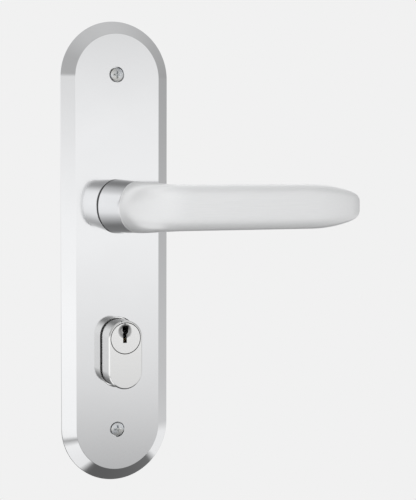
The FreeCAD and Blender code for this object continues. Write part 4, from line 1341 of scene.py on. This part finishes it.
class LEVERSET_OT_fixing_screws(bpy.types.Operator):
    """Makes the two long fixing screws with domed cross heads and real threads"""
    bl_idname = "lever_set.fixing_screws"
    bl_label = "Fixing screws"

    def execute(self, context):
        sizes = context.scene.lever_set_screws
        plate = context.scene.lever_set_plate
        low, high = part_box("fixing_screws")
        seat_y = FACE_Y + plate.recess_depth
        screws = []
        for height in screw_heights():
            screw = self.screw(sizes, low.y, seat_y, high.y, height)
            screws.append(combine(screw, [self.cross(sizes, low.y, height)], "DIFFERENCE"))
        dress_as("zinc_steel", joined("door_screws", screws), "fixing_screws", sharp_degrees=42)
        return {"FINISHED"}

    def screw(self, sizes, top_y, seat_y, end_y, height):
        """Dome, head, neck, thread and tip as the rows of one turned shape.

        The dome's height at radius r is that of a sphere through its top and its rim.
        """
        # The dome's own rows end just short of where the rim's rounding starts
        rim_edge, dome_stop, seat_edge, thread_start = 0.4 * MM, 0.45 * MM, 0.12 * MM, 0.02 * MM
        sphere = (sizes.head_radius ** 2 + sizes.head_dome ** 2) / (2 * sizes.head_dome)
        dome_radius = np.linspace(0, sizes.head_radius - dome_stop, 10)
        dome_y = top_y + sphere - np.sqrt(sphere ** 2 - dome_radius ** 2)
        head = rounded([
            (dome_radius[-1], dome_y[-1]), (sizes.head_radius, top_y + sizes.head_dome),
            (sizes.head_radius, seat_y), (sizes.neck_radius, seat_y), (sizes.neck_radius, 0),
        ], [0, rim_edge, seat_edge, EDGE, 0], closed=False)
        radii, heights = thread_rows(
            sizes.thread_radius, sizes.thread_depth, sizes.thread_pitch, thread_start,
            end_y - sizes.tip_chamfer,
        )
        columns = radii.shape[1]
        plain = np.concatenate([dome_radius, head[1:, 0]])[:, None] * np.ones(columns)
        tip = np.full((1, columns), sizes.thread_radius - sizes.tip_chamfer)
        rows = np.vstack([plain, radii, tip, 0 * tip])
        along = np.concatenate([dome_y, head[1:, 1], heights, [end_y, end_y]])
        return turned("door_screw", rows, along, (0, 0, height))

    def cross(self, sizes, top_y, height):
        """A cross outline with rounded corners that shrinks evenly towards a blunt point.

        It starts a little in front of the head's top, where it is wider.
        """
        edge, before, mouth = 0.12 * MM, 0.3 * MM, 1.08
        wing, half = sizes.cross_length / 2, sizes.cross_width / 2
        quarter = np.array([(wing, -half), (wing, half), (half, half)])
        turns = [Matrix.Rotation(math.radians(90 * step), 2) for step in range(4)]
        corners = np.vstack([quarter @ np.array(turn).T for turn in turns])
        outline = rounded(corners, edge, closed=True, steps=4)
        scale = np.array([mouth, 1.0, sizes.cross_taper, 0.0])
        floor_y = top_y + sizes.cross_depth
        depth = np.array([top_y - before, top_y, floor_y, floor_y + before])
        points = layered(outline[None] * scale[:, None, None], depth)
        return grid_mesh("cross", points + np.array([0, 0, height]), caps=True)


class LEVERSET_OT_cylinder(bpy.types.Operator):
    """Makes the oval cylinder body with its bores and the cam's slot"""
    bl_idname = "lever_set.cylinder"
    bl_label = "Cylinder body"

    def execute(self, context):
        sizes = context.scene.lever_set_cylinder
        radius, chamfer = BODY_HIGH.x, sizes.face_chamfer
        front, back = BODY_LOW.y, BODY_HIGH.y
        profile = [
            (0, front), (radius - chamfer, front), (radius, front + chamfer), (radius, back), (0, back),
        ]
        face_edge, side_edge = 0.15 * MM, 0.25 * MM
        radii = [0, face_edge, side_edge, side_edge, 0]
        piece = stadium("lock_body", profile, radii, BODY_STRAIGHT, BODY_Z, columns=128)
        combine(piece, self.bores(sizes, front), "DIFFERENCE")
        dress_as("nickel", piece, "cylinder_body")
        return {"FINISHED"}

    def bores(self, sizes, front):
        """The plug's bore and counterbore, the cam's slot, the tail, the screw's hole, the pin chambers."""
        gap = sizes.running_gap
        slot_y = front + sizes.face_length
        axis = (0, 0, PLUG_Z)
        mount = MOUNTS["lock_case_screw"]["pos_m"]
        wide = 2 * BODY_HIGH.x
        mouth_edge = 0.07 * MM
        tools = [
            flared_hole("counterbore", sizes.plug_face_radius + sizes.plug_face_gap, front,
                        front + sizes.plug_face_depth, axis, mouth_edge),
            drill("bore", sizes.plug_radius + gap, front, slot_y + MM, axis),
            drill("sweep", sizes.sweep_radius, slot_y, slot_y + sizes.slot_width, axis),
            drill("tail", sizes.tail_radius + gap, slot_y, PLUG_HIGH.y + EDGE, axis),
            drill("screw", sizes.screw_radius, -wide, wide, (0, mount[1], mount[2]), axis="X", columns=64),
        ]
        for index in range(1, PIN_COUNT + 1):
            centre = (0, middle_y("driver_pin_%d" % index), 0)
            tools.append(drill("chamber", sizes.pin_bore, BODY_LOW.z - MM, PLUG_Z - sizes.plug_radius / 2,
                               centre, axis="Z", columns=48))
        return tools


# How deep and how far out the keyway's flare goes, from before the plug's face inwards, in millimetres
KEYWAY_MOUTH = [(-0.08, 0.16), (0.0, 0.11), (0.06, 0.05), (0.14, 0.0)]


class LEVERSET_OT_plug(bpy.types.Operator):
    """Makes the round plug with the keyway, the key's dish and the pin bores"""
    bl_idname = "lever_set.plug"
    bl_label = "Plug"

    def execute(self, context):
        sizes = context.scene.lever_set_cylinder
        front, end = PLUG_LOW.y, PLUG_HIGH.y
        head_end = front + sizes.plug_face_depth - sizes.running_gap
        slot_y = front + sizes.face_length - sizes.running_gap
        clip_low, clip_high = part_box("plug_clip")
        head, barrel, tail = sizes.plug_face_radius, sizes.plug_radius, sizes.tail_radius
        groove = sizes.clip_inner - sizes.running_gap
        groove_start, groove_end = clip_low.y - EDGE / 2, clip_high.y + EDGE / 2
        profile = [
            (0, front), (head, front), (head, head_end), (barrel, head_end), (barrel, slot_y),
            (tail, slot_y), (tail, groove_start), (groove, groove_start), (groove, groove_end),
            (tail, groove_end), (tail, end), (0, end),
        ]
        radii = [0, EDGE, EDGE, EDGE, EDGE, 0, 0, 0, 0, 0, 3 * EDGE, 0]
        piece = lathe("key_plug_body", profile, radii, (0, 0, PLUG_Z), columns=160)
        combine(piece, self.cuts(sizes, front, end), "DIFFERENCE")
        tone = context.scene.lever_set_finishes.nickel
        dress(piece, finish_named("turned_nickel", turned_nickel, tone), "nickel", "plug")
        return {"FINISHED"}

    def keyway(self, sizes, front):
        """The keyway's outline with rounded corners, flared a little at the face."""
        floor = -sizes.keyway_floor
        top = floor + sizes.keyway_height
        step = floor + sizes.keyway_step
        left, right, ward = -sizes.keyway_wide / 2, sizes.keyway_wide / 2, sizes.keyway_ward
        narrow_left = left + sizes.keyway_inset
        narrow_right = narrow_left + sizes.keyway_narrow
        corners = [
            (narrow_left, floor), (narrow_right, floor), (narrow_right, step - ward),
            (right - ward / 2, step + ward), (right, step + ward * 2), (right, top), (left, top),
            (left, step + ward * 3), (left + ward, step + ward * 2), (left + ward, step + ward),
            (narrow_left, step),
        ]
        outline = rounded(corners, EDGE, closed=True, steps=4)
        depth, flare = np.array(KEYWAY_MOUTH + [(sizes.keyway_depth / MM, 0.0)]).T * MM
        flat = outline[None] + outward_from(outline)[None] * flare[:, None, None]
        return grid_mesh("keyway", layered(flat, front + depth) + np.array([0, 0, PLUG_Z]), caps=True)

    def cuts(self, sizes, front, end):
        """The key's dish, the keyway, the tail's flats and the pins' bores.

        The dish's cutter widens in front of the face, so the dish's edge comes out rounded.
        """
        reach = 2 * sizes.plug_radius
        dish, mouth = sizes.dish_radius, sizes.dish_radius * 1.42
        dish_z = PLUG_Z - sizes.keyway_floor + sizes.keyway_height - sizes.dish_drop
        before, floor_y = front - MM / 2, front + sizes.dish_depth
        profile = [(0, before), (mouth, before), (dish, front), (dish / 2, floor_y), (0, floor_y)]
        tools = [
            lathe("dish", profile, [0, 0, EDGE, 2 * EDGE, 0], (-sizes.dish_offset, 0, dish_z)),
            self.keyway(sizes, front),
        ] + flats(sizes.tail_flat, reach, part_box("cam")[0].y, end + MM, PLUG_Z)
        # A key pin rises 2 mm, and the bores leave a little more above the highest one
        rise = 2.1 * MM
        pins = ["key_pin_%d" % index for index in range(1, PIN_COUNT + 1)]
        bore_top = max(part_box(pin)[1].z for pin in pins) + rise
        for pin in pins:
            tools.append(drill("bore", sizes.pin_bore, PLUG_Z - reach, bore_top, (0, middle_y(pin), 0),
                               axis="Z", columns=48))
        return tools


class LEVERSET_OT_pins(bpy.types.Operator):
    """Makes the key pins, the driver pins, their springs and the caps of their chambers"""
    bl_idname = "lever_set.pins"
    bl_label = "Pins and springs"

    def execute(self, context):
        sizes = context.scene.lever_set_cylinder
        for index in range(1, PIN_COUNT + 1):
            self.pin(sizes, "key_pin_%d" % index, "cut_pin_%d" % index, sizes.pin_tip)
            self.pin(sizes, "driver_pin_%d" % index, "drive_pin_%d" % index, sizes.pin_end)
            coil = self.coil(sizes, "pin_spring_%d" % index, "coil_%d" % index)
            self.squeeze(coil, "pin_spring_%d" % index, "driver_pin_%d_slide" % index)
        self.caps(sizes)
        return {"FINISHED"}

    def pin(self, sizes, node, name, top_chamfer):
        """A turned pin, chamfered at its foot and at its top, which on a key pin is its tip."""
        low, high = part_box(node)
        radius, foot = sizes.pin_radius, sizes.pin_end
        profile = [
            (0, low.z), (radius - foot, low.z), (radius, low.z + foot), (radius, high.z - top_chamfer),
            (radius - top_chamfer, high.z), (0, high.z),
        ]
        top_edge = 0.12 * MM
        radii = [0, EDGE, EDGE, EDGE, top_edge, 0]
        centre = (0, middle_y(node), 0)
        dress_as("brass", lathe(name, profile, radii, centre, axis="Z", columns=48), node)

    def coil(self, sizes, node, name):
        """A round wire on a helix: radius times (cos t, sin t), climbing evenly with t."""
        low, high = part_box(node)
        wire = sizes.spring_wire / 2
        radius = sizes.pin_bore - sizes.spring_wire
        turn = np.linspace(0, 2 * math.pi * sizes.spring_curls, 36 * sizes.spring_curls + 1)
        out = np.stack([np.cos(turn), np.sin(turn), 0 * turn], axis=-1)
        path = out * radius
        path[:, 1] += middle_y(node)
        path[:, 2] = np.linspace(low.z + wire * 1.1, high.z - wire * 1.1, len(turn))
        return dress_as("spring_steel", carried(name, circle_outline(wire, 14), path, out), node)

    def squeeze(self, coil, node, joint):
        """Gives a coil its own copy of its mesh. The share to which it would shorten as its driver pin comes down
        is worked out but not used.
        """
        low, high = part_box(node)
        travel = max(map(abs, JOINTS[joint]["range_m"]))
        1 - travel / (high.z - low.z)
        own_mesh(coil)

    def caps(self, sizes):
        """Plugs in the pins' bores, cut off along the body's outside."""
        low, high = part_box("chamber_caps")
        play = 0.02 * MM
        cap_profile = ring_profile(0, sizes.pin_bore - play, BODY_LOW.z - MM, high.z)
        body_profile = ring_profile(0, BODY_HIGH.x, low.y - MM, high.y + MM)
        caps = []
        for index in range(1, PIN_COUNT + 1):
            centre = (0, middle_y("driver_pin_%d" % index), 0)
            cap = lathe("cap", cap_profile, [0, 0, EDGE, 0], centre, axis="Z", columns=48)
            outside = stadium("outside", body_profile, 0.0, BODY_STRAIGHT, BODY_Z)
            caps.append(combine(cap, [outside], "INTERSECT"))
        dress_as("brass", joined("chamber_plugs", caps), "chamber_caps")


class LEVERSET_OT_cam(bpy.types.Operator):
    """Makes the cam that throws the bolt and the clip that keeps the plug in"""
    bl_idname = "lever_set.cam"
    bl_label = "Cam and clip"

    def execute(self, context):
        sizes = context.scene.lever_set_cylinder
        low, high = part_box("cam")
        gap = sizes.running_gap
        finger, shoulder = sizes.cam_finger, sizes.cam_shoulder
        # Where the finger's sloping side leaves the hub's circle, at shoulder - slope * depth across
        slope = (shoulder - finger) / sizes.cam_shoulder_reach
        a, b, c = 1 + slope ** 2, -2 * shoulder * slope, shoulder ** 2 - sizes.cam_hub ** 2
        depth = (-b + math.sqrt(b * b - 4 * a * c)) / (2 * a)
        leaving = math.atan2(-depth, shoulder - slope * depth)
        # The outline goes round the hub, down one side of the finger, along its tip and up again
        turn = np.linspace(leaving, math.pi - leaving, 72)
        hub = sizes.cam_hub * np.stack([np.cos(turn), np.sin(turn)], axis=1)
        tip = math.asin(finger / sizes.cam_reach)
        end = np.linspace(-math.pi / 2 - tip, -math.pi / 2 + tip, 9)
        arc = sizes.cam_reach * np.stack([np.cos(end), np.sin(end)], axis=1)
        shoulders = np.array([[-finger, -sizes.cam_shoulder_reach], [finger, -sizes.cam_shoulder_reach]])
        corners = np.vstack([hub, shoulders[:1], arc, shoulders[1:]])
        shoulder_radius, tip_radius = 1.5 * MM, 0.4 * MM
        radii = np.zeros(len(corners))
        radii[len(hub)] = radii[-1] = shoulder_radius
        radii[len(hub) + 1] = radii[-2] = tip_radius
        outline = rounded(corners, radii, closed=True)
        piece = prism("throw_cam", outline, low.y, high.y, (0, 0, PLUG_Z), edge=2 * EDGE)
        bore = two_flat_bore(
            "bore", sizes.tail_radius + gap, sizes.tail_flat + gap, low.y - MM, high.y + MM, PLUG_Z
        )
        combine(piece, [bore], "DIFFERENCE")
        dress_as("zinc_steel", piece, "cam")

        low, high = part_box("plug_clip")
        mouth = 2 * math.asin(sizes.clip_mouth / high.x)
        clip = split_ring("plug_circlip", sizes.clip_inner, high.x, low.y, high.y, PLUG_Z, mouth)
        dress_as("spring_steel", clip, "plug_clip")
        return {"FINISHED"}


# What each side of the studio shows from straight down to straight up, as (height of the
# direction from -1 to 1, brightness): soft boxes and grey cards round a bright metal product
STUDIO_SIDES = {
    "left": [(-1.0, 0.12), (-0.94, 0.16), (-0.89, 0.9), (-0.56, 0.98), (-0.45, 0.42), (-0.37, 0.98),
             (-0.2, 1.02), (-0.12, 1.06), (-0.03, 1.0), (0.03, 0.87), (0.07, 0.8), (0.13, 0.47),
             (0.5, 0.47), (1.0, 0.63)],
    "front_left": [(-1.0, 0.12), (-0.5, 0.15), (-0.4, 0.2), (-0.27, 0.6), (-0.15, 0.98), (0.0, 1.07),
                   (0.22, 1.05), (0.31, 0.7), (0.42, 0.34), (0.7, 0.48), (1.0, 0.63)],
    "front": [(-1.0, 0.12), (-0.55, 0.14), (-0.34, 0.26), (-0.25, 0.45), (-0.17, 0.8), (-0.06, 0.99),
              (0.03, 0.97), (0.11, 0.78), (0.22, 0.46), (0.36, 0.24), (0.7, 0.48), (1.0, 0.63)],
    "right": [(-1.0, 0.12), (-0.66, 0.17), (-0.58, 0.92), (-0.32, 0.92), (-0.23, 0.72), (-0.17, 0.61),
              (0.1, 0.4), (0.5, 0.46), (1.0, 0.62)],
    "back": [(-1.0, 0.12), (-0.55, 0.17), (-0.3, 0.35), (-0.1, 0.85), (0.1, 1.0), (0.5, 1.0), (0.75, 0.9),
             (1.0, 0.62)],
}

# From the left round to the back: the side that takes over, along which direction, from and to where
STUDIO_TURNS = [
    ("front_left", "rightwards", -0.6, -0.4), ("front", "rightwards", -0.2, 0.02),
    ("right", "rightwards", 0.7, 0.88), ("back", "backwards", 0.25, 0.6),
]

# Soft lamps: a small one near the lever's left, a wide one in front and a wide one upper right behind.
# Each has its name, its place and its width in metres, and the setting that holds its power
LAMPS = [
    ("near_lamp", (-0.26, -0.31, 0.25), 0.3, "near_power"),
    ("fill_lamp", (0.3, -1.9, 0.6), 1.2, "lamp_power"),
    ("rim_lamp", (1.2, 0.9, 1.4), 1.2, "lamp_power"),
]

# How far from the middle the floor's shadow starts to fade and has gone, in millimetres
SHADOW_FADE = (300.0, 900.0)


class LEVERSET_OT_studio(bpy.types.Operator):
    """Makes the floor, the soft light round the object and the camera"""
    bl_idname = "lever_set.studio"
    bl_label = "Studio"

    def execute(self, context):
        settings = context.scene.lever_set_studio
        self.floor(settings)
        self.surroundings(context.scene, settings)
        self.lamps(settings)
        self.camera(context.scene, settings)
        context.scene.view_settings.view_transform = "Standard"
        return {"FINISHED"}

    def floor(self, settings):
        """A flat floor that shows the plain background, with a share of true shadow near the object."""
        place = np.linspace(-1, 1, 9) * settings.floor_radius
        across, along = np.meshgrid(place, place, indexing="ij")
        points = np.stack([across, along, 0 * across - settings.floor_drop], axis=-1)
        floor = grid_mesh("studio_floor", points, wrap_columns=False)
        material, finish = new_finish("pale_floor")
        tone = settings.background
        pale = settings.floor_tone
        matt = finish.node("ShaderNodeBsdfDiffuse", None, {"Color": (pale, pale, pale, 1.0)})
        plain = finish.node("ShaderNodeEmission", None, {"Color": (tone, tone, tone, 1.0)})
        seen = finish.node("ShaderNodeLightPath", output="Is Camera Ray")
        x, y, _ = finish.parts(finish.place())
        away = (x * x + y * y).square_root()
        shadow = finish.band(away, *SHADOW_FADE, settings.floor_shadow, 0.0)
        shader = finish.node("ShaderNodeMixShader", None, {0: seen * (1 - shadow), 1: matt, 2: plain})
        finish.node("ShaderNodeOutputMaterial", None, {"Surface": shader})
        floor.data.materials.append(material)
        floor.visible_glossy = False

    def surroundings(self, scene, settings):
        """The sides run into each other, and the camera sees the plain background."""
        world = bpy.data.worlds.new("soft_studio")
        world.use_nodes = True
        finish = Finish(world.node_tree)
        x, y, z = finish.parts(finish.node("ShaderNodeTexCoord", output="Generated"))
        height = z * 0.5 + 0.5
        # A little over 1, so nothing is divided by 0 straight up and straight down
        flat = (1.0001 - z * z).square_root()
        ways = {"rightwards": x / flat, "backwards": y / flat}
        sides = {}
        for side, stops in STUDIO_SIDES.items():
            stops = [((up + 1) / 2, tone) for up, tone in stops]
            sides[side] = finish.node("ShaderNodeValToRGB", {"stops": stops}, {0: height})
        shown = sides["left"]
        for side, way, first, last in STUDIO_TURNS:
            shown = finish.between(finish.band(ways[way], first, last), shown, sides[side])
        tone = settings.background
        seen = finish.node("ShaderNodeLightPath", output="Is Camera Ray")
        colour = finish.between(seen, shown, (tone, tone, tone, 1.0))
        light = finish.node("ShaderNodeBackground", None, {"Color": colour, "Strength": 1.0})
        finish.node("ShaderNodeOutputWorld", None, {"Surface": light})
        scene.world = world

    def lamps(self, settings):
        """Each lamp looks at the origin and is seen neither by the camera nor in reflections."""
        for name, place, size, power in LAMPS:
            lamp = bpy.data.lights.new(name, "AREA")
            lamp.size = size
            lamp.energy = getattr(settings, power)
            holder = added(name, lamp)
            holder.rotation_euler = Vector(place).to_track_quat("Z", "Y").to_euler()
            holder.location = place
            holder.visible_camera = False
            holder.visible_glossy = False

    def camera(self, scene, settings):
        """The camera looks at the target from its azimuth and elevation, turned by its roll."""
        azimuth, elevation = settings.azimuth, settings.elevation
        flat = math.cos(elevation)
        back = Vector((math.sin(azimuth) * flat, -math.cos(azimuth) * flat, math.sin(elevation)))
        target = Vector((settings.target_x, 0, settings.target_z))
        data = bpy.data.cameras.new("photo_camera")
        data.lens = settings.lens
        data.sensor_width = 36.0
        data.clip_start = 0.01
        camera = added("photo_camera", data)
        turn = back.to_track_quat("Z", "Y").to_matrix() @ Matrix.Rotation(settings.roll, 3, "Z")
        camera.matrix_world = Matrix.LocRotScale(target + back * settings.distance, turn, None)
        scene.camera = camera


OPERATORS = [
    LEVERSET_OT_studio,
    LEVERSET_OT_backplate,
    LEVERSET_OT_lever,
    LEVERSET_OT_collar,
    LEVERSET_OT_bearing,
    LEVERSET_OT_return_spring,
    LEVERSET_OT_spring_lid,
    LEVERSET_OT_spindle,
    LEVERSET_OT_fixing_screws,
    LEVERSET_OT_cylinder,
    LEVERSET_OT_plug,
    LEVERSET_OT_pins,
    LEVERSET_OT_cam,
]


class LEVERSET_PT_pieces(bpy.types.Panel):
    """Lists the pieces in the order in which they are made"""
    bl_idname = "LEVERSET_PT_pieces"
    bl_label = "Lever set"
    bl_space_type = "VIEW_3D"
    bl_region_type = "UI"
    bl_category = "Lever set"

    def draw(self, context):
        for operator in OPERATORS:
            self.layout.operator(operator.bl_idname)
        for name, group in GROUPS.items():
            box = self.layout.box()
            box.label(text=group.__doc__)
            for key in group.__annotations__:
                box.prop(getattr(context.scene, name), key)


def register():
    for group in GROUPS.values():
        bpy.utils.register_class(group)
    for name, group in GROUPS.items():
        setattr(bpy.types.Scene, name, PointerProperty(type=group))
    for operator in OPERATORS:
        bpy.utils.register_class(operator)
    bpy.utils.register_class(LEVERSET_PT_pieces)


def unregister():
    bpy.utils.unregister_class(LEVERSET_PT_pieces)
    for operator in reversed(OPERATORS):
        bpy.utils.unregister_class(operator)
    for name, group in reversed(GROUPS.items()):
        delattr(bpy.types.Scene, name)
        bpy.utils.unregister_class(group)


def main():
    register()
    for operator in OPERATORS:
        group, name = operator.bl_idname.split(".")
        getattr(getattr(bpy.ops, group), name)()


if __name__ == "__main__":
    main()
